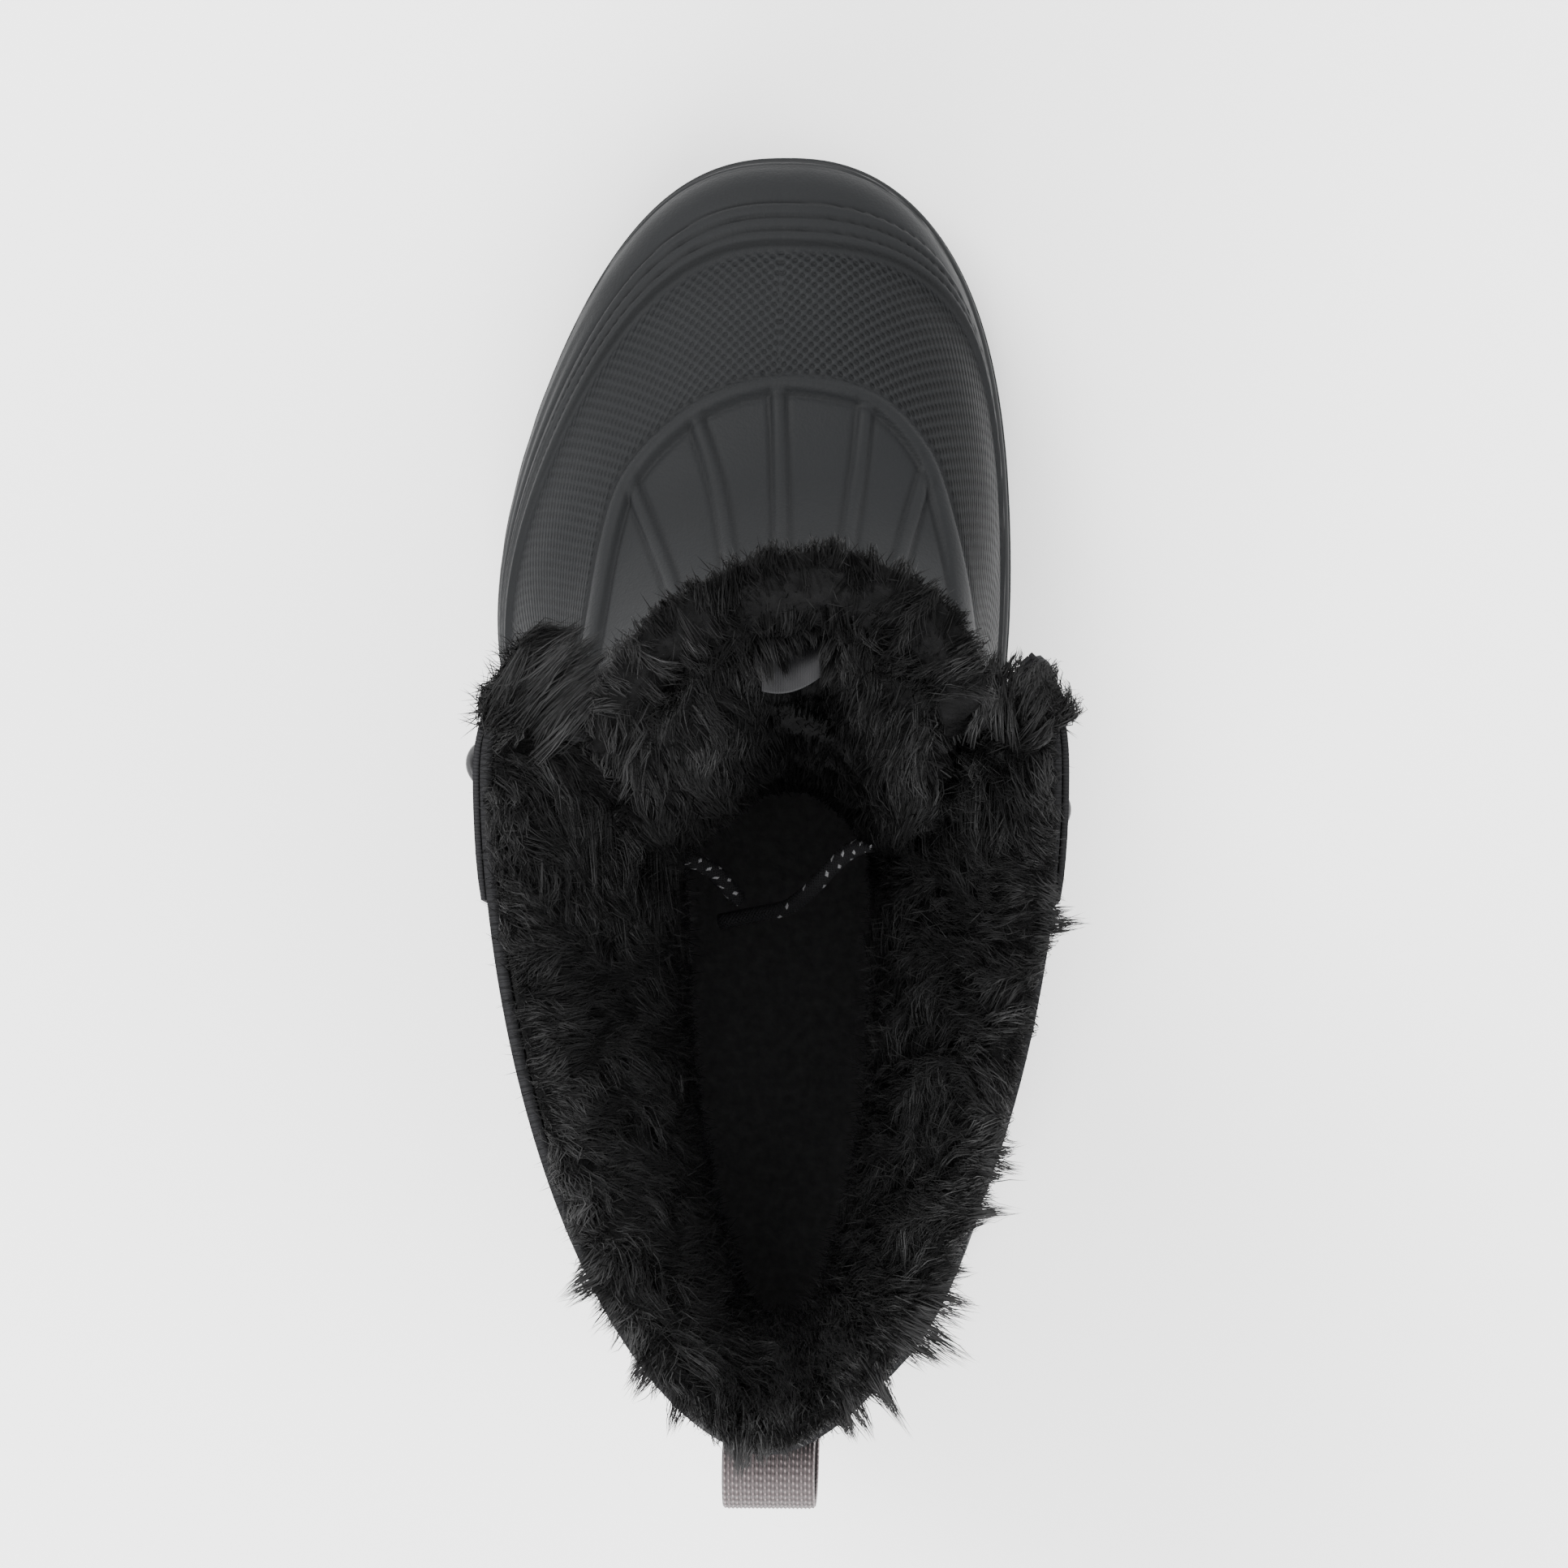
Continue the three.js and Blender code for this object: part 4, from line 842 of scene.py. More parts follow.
def folded_body(levels, outsides, crossings, slices):
    """Closed body over the sole's plan, row by row from its top middle to its bottom middle."""
    angle = np.linspace(0, TURN, slices, endpoint=False) + 0.001
    rings = []
    for level, outside, crossing in zip(levels, outsides, crossings):
        ring = plan_point(angle, SHELL_OUTER + outside, crossing)
        under = underside_at(ring[:, 1])
        ring[:, 2] = under + level * (SOLE_HEIGHT - under)
        rings.append(ring)
    return np.concatenate(rings), grid_faces(len(rings), slices, True)


def lug(x, y, width, lean):
    """One lug as a box, turned a little, its top inside the sole."""
    top = max(underside_at(y - LUG_LENGTH), underside_at(y + LUG_LENGTH)) + 1.2
    across, along, level = np.array([
        (sx * width / 2, sy * LUG_LENGTH / 2, sz)
        for sz in (0.0, top) for sx, sy in ((-1, -1), (1, -1), (1, 1), (-1, 1))]).T
    return np.column_stack((x + across * math.cos(lean) - along * math.sin(lean),
                            y + across * math.sin(lean) + along * math.cos(lean), level)), BOX_FACES


def lug_boxes():
    """Three lugs to a row under the ball of the foot and two under the heel."""
    boxes = []
    s = section_at(SOLE_HEIGHT)
    for (start, end), ball in ((BALL_ROWS, True), (HEEL_ROWS, False)):
        for row in range(round((end - start) * FOOT_LENGTH / LUG_PITCH) + 1):
            y = start * FOOT_LENGTH + row * LUG_PITCH
            run = s["toe"] - s["wide"] if y > s["wide"] else s["wide"] - s["heel"]
            angle = math.asin(min(max((y - s["wide"]) / run, -1), 1))
            right, left = (form_point(a, SOLE_HEIGHT)[0] for a in (angle, math.pi - angle))
            middle, half = (left + right) / 2, (right - left) / 2
            reach = half + SHELL_OUTER + 4
            if ball:
                core = 0.36 * half
                wing = reach - core - LUG_CHANNEL
                off = core + LUG_CHANNEL + wing / 2
                boxes += [lug(middle, y, 2 * core, 0.0), lug(middle - off, y - 3, wing, LUG_LEAN),
                          lug(middle + off, y - 3, wing, -LUG_LEAN)]
            else:
                wing = reach - LUG_CHANNEL / 2
                off = (LUG_CHANNEL + wing) / 2
                boxes += [lug(middle - off, y, wing, 0.0), lug(middle + off, y, wing, 0.0)]
    return joined(boxes)


def welded(body):
    """Body with its coincident points joined."""
    mesh = bpy.data.meshes.new("weld")
    faces = [tuple(map(int, face)) for group in body[1:] for face in group]
    mesh.from_pydata([tuple(p) for p in body[0]], [], faces)
    work = bmesh.new()
    work.from_mesh(mesh)
    bmesh.ops.remove_doubles(work, verts=work.verts, dist=WELD_DISTANCE)
    bmesh.ops.dissolve_degenerate(work, edges=work.edges, dist=WELD_DISTANCE)
    bmesh.ops.recalc_face_normals(work, faces=work.faces)
    work.to_mesh(mesh)
    work.free()
    return mesh


def trimmed_lugs():
    """Mesh of the lugs, cut to the sole's outline and bent up with its toe."""
    slab = folded_body((0.0,) * 4, (0.5,) * 4, (0, 1, 1, 0), SLAB_SLICES)
    slab[0][:2 * SLAB_SLICES, 2] = TREAD_DEPTH + ARCH_RISE
    slab[0][2 * SLAB_SLICES:, 2] = -1.0
    cutter, blocks = placed("slab", welded(slab)), placed("lugs", welded(lug_boxes()))
    trim = blocks.modifiers.new("trim", "BOOLEAN")
    trim.operation, trim.object, trim.solver = "INTERSECT", cutter, "EXACT"
    soften(blocks, 0.5, 40)
    bpy.context.view_layer.update()
    mesh = bpy.data.meshes.new_from_object(
        blocks.evaluated_get(bpy.context.evaluated_depsgraph_get()))
    points = np.empty(len(mesh.vertices) * 3)
    mesh.vertices.foreach_get("co", points)
    points = sprung(points.reshape(-1, 3)) + SHIFT
    mesh.vertices.foreach_set("co", (points * MM).ravel())
    for made in (cutter, blocks):
        bpy.data.objects.remove(made)
    return mesh


def build_sole():
    levels = [1.0, 1.0] + list(SOLE_SIDE[:, 0]) + [0.0, 0.0]
    outsides = [0.4, 0.4] + list(SOLE_SIDE[:, 1]) + [-1.9, -1.9]
    crossings = [0.0, 0.6] + [1.0] * len(SOLE_SIDE) + [0.6, 0.0]
    points, faces = folded_body(levels, outsides, crossings, 320)
    body = welded((sprung(points), faces))
    points = np.array([v.co[:] for v in body.vertices])
    groups = [np.array([f.vertices[:] for f in body.polygons if len(f.vertices) == sides])
              for sides in (4, 3)]
    made = piece("sole", (points, *(group for group in groups if len(group))), "sole",
                 ("outsole",))
    sharpen(made, 50)
    dressed(placed("sole_lugs", trimmed_lugs()), "sole")
    insole = placed("insole_felt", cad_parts["insole"].data.copy())
    soften(insole, 0.0008, 38)
    insole.data.polygons.foreach_set("use_smooth", np.ones(len(insole.data.polygons), bool))
    sharpen(insole, 48)
    dressed(insole, "felt", ("insole",))


# Rubber shell

BAND_SHARE = 0.262
BAND_SHIFT = (0.045, -0.155)
BAND_GROOVES = (0.185, 0.206, 0.226, 0.243)
ARCH_LINE = np.array((
    (-0.405, 0.045), (-0.395, 0.090), (-0.380, 0.132), (-0.355, 0.199), (-0.318, 0.246),
    (-0.222, 0.289), (-0.125, 0.313), (-0.015, 0.324), (0.093, 0.321), (0.190, 0.309),
    (0.288, 0.268), (0.341, 0.208), (0.372, 0.152), (0.388, 0.100), (0.396, 0.055),
)) * (BALL_WIDTH, FOOT_LENGTH)
FAN_LINES = [np.array(line) * (BALL_WIDTH, FOOT_LENGTH) for line in (
    ((-0.318, 0.248), (-0.262, 0.200), (-0.220, 0.164), (-0.195, 0.135)),
    ((-0.184, 0.301), (-0.138, 0.250), (-0.100, 0.185), (-0.082, 0.140)),
    ((-0.012, 0.325), (-0.003, 0.260), (0.006, 0.195), (0.010, 0.145)),
    ((0.172, 0.312), (0.160, 0.260), (0.143, 0.202), (0.128, 0.140)),
    ((0.303, 0.262), (0.270, 0.215), (0.243, 0.173), (0.222, 0.135)),
)]
SHELL_EDGE = np.array((
    (-0.70, 0.90), (-0.40, 0.88), (-0.24, 0.70), (-0.09, 0.63), (0.035, 0.73), (0.115, 0.94),
    (0.70, 0.94),
))
TOE_RING_PITCH = 0.019
SIDE_LINE_PITCH = 0.034
RIB_RISE = 1.1
RIDGE_HALF, RIDGE_REACH, RIDGE_RISE = 2.0, 3.6, 1.25
FAR_BACK = -400.0
SINK = 0.4
FRONT_COLUMNS, BACK_COLUMNS = 360, 50
SHELL_ROWS, LINING_ROWS = 150, 7


def band_level(angle, height):
    """Level of a place on the shell's band: 0 at the feather line, 1 at the instep."""
    plain = (height - UPPER_BASE) / (INSTEP_HEIGHT - SOLE_HEIGHT)
    side = np.cos(angle)
    shift = np.where(side < 0, BAND_SHIFT[0], BAND_SHIFT[1]) * side * side
    level = plain.copy()
    for _ in range(25):
        below = np.clip(level / BAND_SHARE, 0, 1) ** 0.8
        above = np.maximum(0, 1 - np.maximum(0, level - BAND_SHARE) / 0.35) ** 1.3
        level = 0.5 * level + 0.5 * (plain - shift * below * above)
    return level


def shell_top(angle):
    """Height of the shell's upper edge at some angles."""
    height = np.full(angle.shape, 90.0)
    for _ in range(30):
        y = form_point(angle, height)[..., 1] / FOOT_LENGTH
        edge = np.interp(y, SHELL_EDGE[:, 0], SHELL_EDGE[:, 1])
        height = 0.6 * height + 0.4 * (SOLE_HEIGHT + edge * (INSTEP_HEIGHT - SOLE_HEIGHT))
    return height


def front_fade(angle):
    """Strength of the toe's ridges: full in front, less along the sides."""
    return 1 - smooth_share(np.abs(np.cos(angle)), 0.55, 0.9) * 0.72


def painted_groove_shade(level, angle, arch_distance, ribs, inner):
    """Share of shadow and dust in the grooves of the band and beside the raised ribs."""
    band = sum(hump(level, groove, 0.004) for groove in BAND_GROOVES) * front_fade(angle)
    beside = hump(arch_distance, 2.7, 0.6) + hump(ribs, 2.3, 0.6) * inner
    return np.clip(band + 0.5 * beside, 0, 1)


def band_relief(level, angle):
    """Toe bumper from the ground up: fine rings, a broad band and soft ridges."""
    rings = 0.32 * np.cos(TURN * level / TOE_RING_PITCH) * smooth_share(level, 0.015, 0.035)
    rings = rings * (1 - smooth_share(level, 0.085, 0.105))
    band = 0.7 - 0.5 * ((level - 0.10) / 0.14) ** 2
    fade = front_fade(angle)
    ridges = 0.0
    for low, high in zip(BAND_GROOVES[:-1], BAND_GROOVES[1:]):
        t = (level - low) / (high - low)
        ridges = ridges + np.where((t > 0) & (t < 1), np.sqrt(np.clip(1 - (2 * t - 1)**4, 0, 1)), 0)
    ridged = 0.1 + 1.1 * ridges * fade + 0.35 * (1 - fade)
    above = smooth_share(level, BAND_GROOVES[0] - 0.006, BAND_GROOVES[0] + 0.001)
    relief = (rings + band) * (1 - above) + ridged * above
    step = smooth_share(level, BAND_GROOVES[-1] - 0.001, BAND_GROOVES[-1] + 0.008)
    side_lines = 0.18 * np.cos(TURN * level / SIDE_LINE_PITCH)
    side_lines = side_lines * smooth_share(np.abs(np.cos(angle)), 0.6, 0.9)
    relief = relief + side_lines * smooth_share(level, 0.1, 0.14) * (1 - step)
    return relief * (1 - step) - SINK * step


def raised(distance, half, height):
    """Rounded ridge of a half width, with a fine groove along its foot."""
    ridge = height * np.sqrt(np.clip(1 - (distance / half) ** 2, 0, 1)) ** 0.9
    return ridge - 0.35 * hump(distance, half + 0.5, 0.55)


def inside_arch(x, y):
    """Is a place in plan inside the arch ridge, or inside its legs carried straight back?"""
    line = flat_line(ARCH_LINE, 80)
    line = np.concatenate((((line[0, 0], FAR_BACK),), line, ((line[-1, 0], FAR_BACK),)))
    inside = np.zeros(x.shape, bool)
    for (x0, y0), (x1, y1) in zip(line[:-1], line[1:]):
        inside ^= ((y0 > y) != (y1 > y)) & (x < (x1 - x0) * (y - y0) / (y1 - y0) + x0)
    return inside


def basket_weave(around, climb, pitch):
    """Phases of raised cells with pits between them, on diagonals mirrored about the middle."""
    first = np.abs(around) / pitch + climb / (1.25 * pitch)
    second = climb / (1.05 * pitch) - 0.62 * np.abs(around) / pitch
    return first, second


def shell_columns():
    """Angles of the shell's columns, and the way of each from the middle of the toe.

    The columns take even steps of length round the front, not even angles.
    """
    past = 0.04
    spread = np.concatenate((
        np.linspace(-past, math.pi + past, FRONT_COLUMNS, endpoint=False),
        np.linspace(math.pi + past, TURN - past, BACK_COLUMNS, endpoint=False)))
    waist_line = form_point(spread, 50.0)
    run = run_along(waist_line)
    front_run = np.linspace(0, run[FRONT_COLUMNS], FRONT_COLUMNS, endpoint=False)
    angle = np.concatenate((np.interp(front_run, run, spread), spread[FRONT_COLUMNS:]))
    girth = run[-1] + np.linalg.norm(waist_line[0] - waist_line[-1])
    way = np.interp(angle, spread, run) - np.interp(FRONT, spread, run)
    return angle, np.where(way > girth / 2, way - girth, way)


def shell_heights(top):
    """Heights of the shell's rows, closer together over the band than near the upper edge."""
    profile = np.linspace(0, 1, 400)
    centre = form_point(FRONT, UPPER_BASE + profile * (top[FRONT_COLUMNS // 2] - UPPER_BASE))
    climb = run_along(centre)
    share = np.linspace(0, 1, SHELL_ROWS)
    steps = np.interp((0.62 * share + 0.38 * share**2.2) * climb[-1], climb, profile)
    return UPPER_BASE + steps[:, None] * (top - UPPER_BASE)


def woven_share(level, y, inner, arch_distance):
    """Where the shell is woven: above the band, outside the arch ridge and not at the heel."""
    woven = smooth_share(level, BAND_GROOVES[-1] + 0.006, BAND_GROOVES[-1] + 0.016)
    woven = woven * np.where(inner, 0, smooth_share(arch_distance, 2.4, 3.4))
    return woven * smooth_share(y, -0.23 * FOOT_LENGTH, -0.21 * FOOT_LENGTH)


def shell_relief(level, angles, side_run, inner, ribs, arch_distance, rib_width):
    """All of the shell's reliefs, in millimetres out from its plain face."""
    relief = band_relief(level, angles)
    relief = relief + np.where(inner, raised(ribs, rib_width / 2, RIB_RISE), 0)
    beside = np.where(arch_distance < RIDGE_HALF, -SINK, 0)
    beside = np.maximum(relief, -SINK) * (arch_distance > RIDGE_HALF) + beside
    ridge = raised(arch_distance, RIDGE_HALF, RIDGE_RISE)
    relief = np.where(arch_distance < RIDGE_REACH, beside + ridge, relief)
    mould_line = hump(side_run, 0.0, 0.35) * (1 - smooth_share(level, 0.25, 0.27))
    return relief - 0.12 * mould_line


def build_shell():
    sizes = bpy.context.scene.snow_boot_sizes
    angle, side_run = shell_columns()
    count = len(angle)
    angles = np.broadcast_to(angle, (SHELL_ROWS, count))
    top = shell_top(angle)
    heights = shell_heights(top)
    base = skin_point(angles, heights, SHELL_OUTER)
    level = band_level(angles, heights)
    x, y, plan = base[..., 0], base[..., 1], base[..., :2]
    # Behind the ridge's end the inner side curves in, and it is woven like the outer side.
    inner = inside_arch(x, y) & ~((x > 0.31 * BALL_WIDTH) & (y < ARCH_LINE[-1, 1]))
    arch_distance = distance_to(plan, flat_line(ARCH_LINE, 60))
    ribs = np.min([distance_to(plan, flat_line(line, 16)) for line in FAN_LINES], axis=0)
    climbed = np.zeros(heights.shape)
    climbed[1:] = np.cumsum(np.linalg.norm(np.diff(base, axis=0), axis=-1), axis=0)
    woven = woven_share(level, y, inner, arch_distance)
    phases = basket_weave(side_run, climbed, sizes.weave_pitch / MM)
    weave = np.zeros((SHELL_ROWS + LINING_ROWS, count, 3))
    weave[:SHELL_ROWS] = np.stack((*phases, woven * (0.45 + 0.55 * smooth_share(x, -30, 25))), -1)
    # Painted shade for the rubber: in the band's grooves and beside the ribs and the arch ridge, and
    # over the woven part of the inner side, which is painted darker.
    painted_shade = np.zeros((SHELL_ROWS + LINING_ROWS, count))
    shadow = painted_groove_shade(level, angles, arch_distance, ribs, inner)
    painted_shade[:SHELL_ROWS] = np.maximum(shadow, 0.75 * woven * smooth_share(x, 8, 40))
    relief = shell_relief(level, angles, side_run, inner, ribs, arch_distance, sizes.rib_width / MM)
    edge_roll = (1 - smooth_share(top - heights, 0.0, 3.5)) * 0.35
    outside = SHELL_OUTER + relief - 0.5 + edge_roll
    rim = 1 - smooth_share(top - heights, 0.0, 1.0)
    outer = skin_point(angles, heights, outside - 0.5 * rim)
    outer[0, :, 2] = UPPER_BASE
    lining_steps = np.linspace(1, 0, LINING_ROWS)[:, None]
    lining = skin_point(np.broadcast_to(angle, (LINING_ROWS, count)),
                        UPPER_BASE + lining_steps * (top - UPPER_BASE), GAP)
    lining[-1, :, 2] = UPPER_BASE
    points = np.concatenate((outer, lining))
    skin = grid_faces(len(points), count, True)
    foot = bridge((len(points) - 1) * count, 0, count)
    piece("shell", (points.reshape(-1, 3), np.concatenate((skin, foot))), "rubber",
          ("rubber_shell",), {"weave": weave.reshape(-1, 3), "groove": painted_shade.ravel()})


# Upper and eyestays

THROAT_SIDES = np.array((
    (0.05, -0.19, 0.17), (0.27, -0.27, 0.28), (0.40, -0.32, 0.35), (0.54, -0.36, 0.40),
    (0.72, -0.38, 0.45), (1.00, -0.37, 0.47), (1.30, -0.37, 0.47),
))
THROAT_FLOOR = (0.10, -0.12)
STAY_LINE = np.array((
    (0.048, 0.01), (0.0, 0.12), (-0.041, 0.27), (-0.075, 0.40), (-0.089, 0.54), (-0.089, 0.76),
    (-0.075, 1.00), (-0.070, 1.20),
))


def throat_angle(side, height):
    """Angle of the throat's edge on one side, at some heights."""
    floor, column = (THROAT_FLOOR[0], 2) if side > 0 else (THROAT_FLOOR[1], 1)
    levels = np.concatenate(((0.0,), THROAT_SIDES[:, 0]))
    reach = np.concatenate(((floor,), THROAT_SIDES[:, column]))
    limit = np.interp(throat_share(height), levels, reach) * COLLAR_WIDTH

    def on_side(turned):
        return turned if side > 0 else math.pi - turned

    def beyond(turned):
        x = form_point(on_side(turned), height)[..., 0]
        return x > limit if side > 0 else x < limit

    return on_side(halved(np.zeros(height.shape), np.full(height.shape, FRONT), beyond))


def stay_edge(side, throat, height):
    """Angle of an eyestay's outer edge, at some heights, beyond the throat's edge."""
    limit = np.interp(throat_share(height), STAY_LINE[:, 1], STAY_LINE[:, 0]) * FOOT_LENGTH
    far = np.full(height.shape, -FRONT if side > 0 else 3 * FRONT)
    return halved(throat, far, lambda angle: form_point(angle, height)[:, 1] > limit)


def wall_height(angle, rise):
    return UPPER_BASE + rise * (collar_line(angle) - UPPER_BASE)


def cloth_of(points):
    """Way across and up a grid of points, in millimetres, for the weave."""
    across = np.zeros(points.shape[:2])
    across[:, 1:] = np.cumsum(np.linalg.norm(np.diff(points, axis=1), axis=-1), axis=1)
    up = np.zeros(points.shape[:2])
    up[1:] = np.cumsum(np.linalg.norm(np.diff(points, axis=0), axis=-1), axis=0)
    across -= across[:, points.shape[1] // 2][:, None]
    cloth = np.zeros(points.shape)
    cloth[..., 0], cloth[..., 1] = across, up.mean(1)[:, None]
    return cloth


def cloth_piece(name, outer, inner, finish, node):
    """Piece of cloth between two grids of points."""
    cloth = cloth_of(outer).reshape(-1, 3)
    return piece(name, two_sided(outer, inner), finish, (node,),
                 {"cloth": np.concatenate((cloth, cloth))})


def build_upper():
    rows, low_rows, columns = 72, 20, 170
    floor_rise = (INSTEP_HEIGHT - 0.4 - UPPER_BASE) / (COLLAR_HEIGHT - UPPER_BASE)
    rises = np.concatenate((np.linspace(0, floor_rise, low_rows),
                            np.linspace(floor_rise + 0.002, 1, rows - low_rows)))
    share = np.linspace(0, 1, columns)
    edges = {side: np.full(rows, FRONT) for side in (1, -1)}
    for side, edge in edges.items():
        for _ in range(4):
            edge[low_rows:] = throat_angle(side, wall_height(edge, rises)[low_rows:])
    start, end = edges[1][:, None], edges[-1][:, None] - TURN
    angles = start + share * (end - start)
    heights = wall_height(angles, rises[:, None])
    outer = skin_point(angles, heights, creases(angles, heights))
    inner = skin_point(angles, heights, -UPPER_WALL)
    for face in (outer, inner):
        face[0, :, 2] = heights[0]
        face[-1, :, 2] = heights[-1]
    cloth_piece("shaft_cloth", outer, inner, "nylon", "upper")


# Soft creases where the shaft bends at the ankle, on the outer and the inner side: turns round
# the form, height, half length in turns, half height in millimetres and depth.
CREASES = (
    (0.53, 118, 0.055, 3.4, 1.1), (0.54, 129, 0.05, 3.0, 0.8), (0.955, 117, 0.055, 3.4, 1.1),
    (0.965, 128, 0.045, 2.8, 0.7), (0.70, 112, 0.05, 3.2, 0.8), (0.82, 114, 0.05, 3.2, 0.7),
    (0.60, 141, 0.05, 3.0, 0.5), (0.90, 139, 0.05, 3.0, 0.5),
)
STITCH_LENGTH = 2.4
STITCH_GAP = 1.1
STITCH_WIDTH = 0.32


def creases(angle, height):
    """Depth of the soft troughs, with a low ridge above and below each."""
    share = np.mod(angle / TURN, 1.0)
    total = np.zeros(np.broadcast(share, height).shape)
    for place, level, length, reach, depth in CREASES:
        off = (share - place) / length
        bend = (height - level - 3.0 * off * off) / reach
        total = total - depth * np.exp(-off**4) * (np.exp(-bend**2) - 0.45 * np.exp(-(bend - 1.9)**2)
                                                   - 0.3 * np.exp(-(bend + 1.9)**2))
    return total


def stitch_row(line, out):
    """Stitches along a line of points, lying on the cloth whose outward directions are given."""
    run = run_along(line)
    rise = np.array((-0.25, 0.12, 0.2, 0.12, -0.25))[:, None]
    bodies = []
    for start in np.arange(0.5, run[-1] - STITCH_LENGTH, STITCH_LENGTH + STITCH_GAP):
        places = start + np.array((0.0, 0.15, 0.5, 0.85, 1.0)) * STITCH_LENGTH
        path = sampled(line, run, places) + sampled(out, run, places) * rise
        bodies.append(tube(path, STITCH_WIDTH * np.array((0.7, 1, 1, 1, 0.7)), 6))
    return bodies


def build_eyestays():
    rows, columns = 96, 28
    rises, share = np.linspace(0, 1, rows), np.linspace(0, 1, columns)
    low = throat_height(0.02)
    for side, name in ((-1, "left"), (1, "right")):
        height = low + rises * (COLLAR_HEIGHT - low)
        for _ in range(4):
            inner_angle = throat_angle(side, height)
            outer_angle = stay_edge(side, inner_angle, height)
            height = low + rises * (collar_line(inner_angle) - low)
        angles = inner_angle[:, None] + share * (outer_angle - inner_angle)[:, None]
        heights = low + rises[:, None] * (collar_line(angles) - low)
        edge = np.minimum(share, 1 - share) * columns / 2
        rounding = 0.35 * (1 - np.clip(edge, 0, 1)) ** 2
        outer = skin_point(angles, heights, STAY_OUTER - rounding)
        inner = skin_point(angles, heights, GAP)
        cloth_piece(f"stay_{name}", outer, inner, "webbing", f"eyestay_{name}")
        stitches = []
        for column in (2, 4, columns - 3):
            place = (angles[2:-2, column], heights[2:-2, column])
            stitches += stitch_row(skin_point(*place, STAY_OUTER), form_normal(*place))
        piece(f"stay_stitches_{name}", joined(stitches), "stitches", turn_out=False)


# Tongue

TONGUE_SPREAD = (0.62, 1.12)
QUILT_PITCH = 26
LEAN_START = 0.45
LEAN_TOP = {"x": 8.0, "y": 14.0, "depth": 35.0, "skew": 0.13, "sweep": 1.5}


def tongue_face(across, height):
    """Points of the tongue's outer face: across runs from -1 at its left edge to 1."""
    across, height = np.broadcast_arrays(np.asarray(across, float), np.asarray(height, float))
    spread = TONGUE_SPREAD[0] + (TONGUE_SPREAD[1] - TONGUE_SPREAD[0]) * smooth_share(
        height, TONGUE_BOTTOM, TONGUE_BOTTOM + 68)
    hugging = skin_point(FRONT - across * spread, height,
                         np.full(across.shape, -(UPPER_WALL + TONGUE_SLACK)))
    x = LEAN_TOP["x"] + TONGUE_WIDTH / 2 * np.sin(LEAN_TOP["sweep"] * across)
    y = (LEAN_TOP["y"] + LEAN_TOP["depth"] * np.cos(LEAN_TOP["sweep"] * across)
         + LEAN_TOP["skew"] * (x - LEAN_TOP["x"]))
    start = throat_height(LEAN_START)
    lean = np.maximum(0, (height - start) / (TONGUE_TOP - start))[..., None] ** 1.4
    free = np.stack((x, y, height), -1)
    points = hugging + (free - hugging) * lean
    points[..., 2] = height
    return points


def tongue_inward(across, height):
    over = tongue_face(across + 0.01, height) - tongue_face(across - 0.01, height)
    upward = tongue_face(across, height + 0.5) - tongue_face(across, height - 0.5)
    return unit(np.cross(over, upward))


def tongue_point(across, height, depth):
    depth = np.asarray(depth, float)[..., None]
    return tongue_face(across, height) + tongue_inward(across, height) * depth


def build_tongue():
    rows, columns = 70, 50
    across = np.linspace(-1, 1, columns)[None, :]
    height = np.linspace(TONGUE_BOTTOM, TONGUE_TOP, rows)[:, None]
    across, height = np.broadcast_arrays(across, height)
    edge = 0.4 + 0.6 * np.sqrt(np.clip(1 - across**6, 0, 1))
    quilt = 0.35 * np.cos(TURN * (height - TONGUE_BOTTOM) / QUILT_PITCH) * (1 - across**4)
    outer = tongue_point(across, height, 0.15 + (1 - edge) * 1.2 + np.clip(quilt, -0.1, 0.35))
    inner = tongue_point(across, height, TONGUE_PAD * edge)
    tongue = cloth_piece("tongue_pad", outer, inner, "nylon", "tongue")
    side = np.linspace(TONGUE_BOTTOM + 12, TONGUE_TOP - 3, 60)
    over = np.linspace(-1, 1, 60)
    middle = TONGUE_PAD * 0.22
    rim = np.concatenate((
        tongue_point(-0.998, side, middle),
        tongue_point(over, TONGUE_TOP - 1.2 - 1.8 * np.abs(over) ** 8, 2.2),
        tongue_point(0.998, side[::-1], middle),
    ))
    braided_piece("tongue_binding", smooth_line(rim[::4], 260), 1.5, "webbing", sides=10)


# Pile

TONGUE_PILE = np.array((
    (5.4, 0.24), (10, 0.24), (17, 0.30), (21, 0.40), (21, 0.56), (20, 0.72), (18, 0.86),
    (14, 0.98), (8.5, 1.045), (2, 1.065), (-2.6, 1.045), (-3.2, 1.015), (-0.5, 1.006),
    (5.4, 1.006), (5.4, 0.92), (5.4, 0.82), (5.4, 0.72), (5.4, 0.60), (5.4, 0.48), (5.4, 0.36),
))
PILE_BACK = 5.4
COLLAR_PILE = np.array((
    (3.4, 0.52), (21, 0.52), (28.5, 0.60), (28.5, 0.71), (24.5, 0.81), (18.5, 0.90), (14, 0.975),
    (9.8, 1.012), (6.4, 1.022), (3.9, 1.016), (3.1, 1.0), (3.1, 0.985), (3.4, 0.97), (3.4, 0.88),
    (3.4, 0.75), (3.4, 0.63),
))
PILE_THINNER = 0.86
COLLAR_PILE_BACK = 3.4
PILE_SPINE = (-0.33, -0.06)
COLLAR_PILE_RANGE = (0.388, 1.09)
BACK_THINNING = 0.48
RIGHT_END_TRIM = 0.62
COLLAR_MIDDLE_X = 5.0
COLLAR_MIDDLE_Y = (-97.0, -17.0)
HAIRS_PER_LOCK = 18
HAIRS_PER_POINTED_LOCK = 16
UNDERCOAT_SHARE = 3
GOLDEN_SHARE = 0.618034


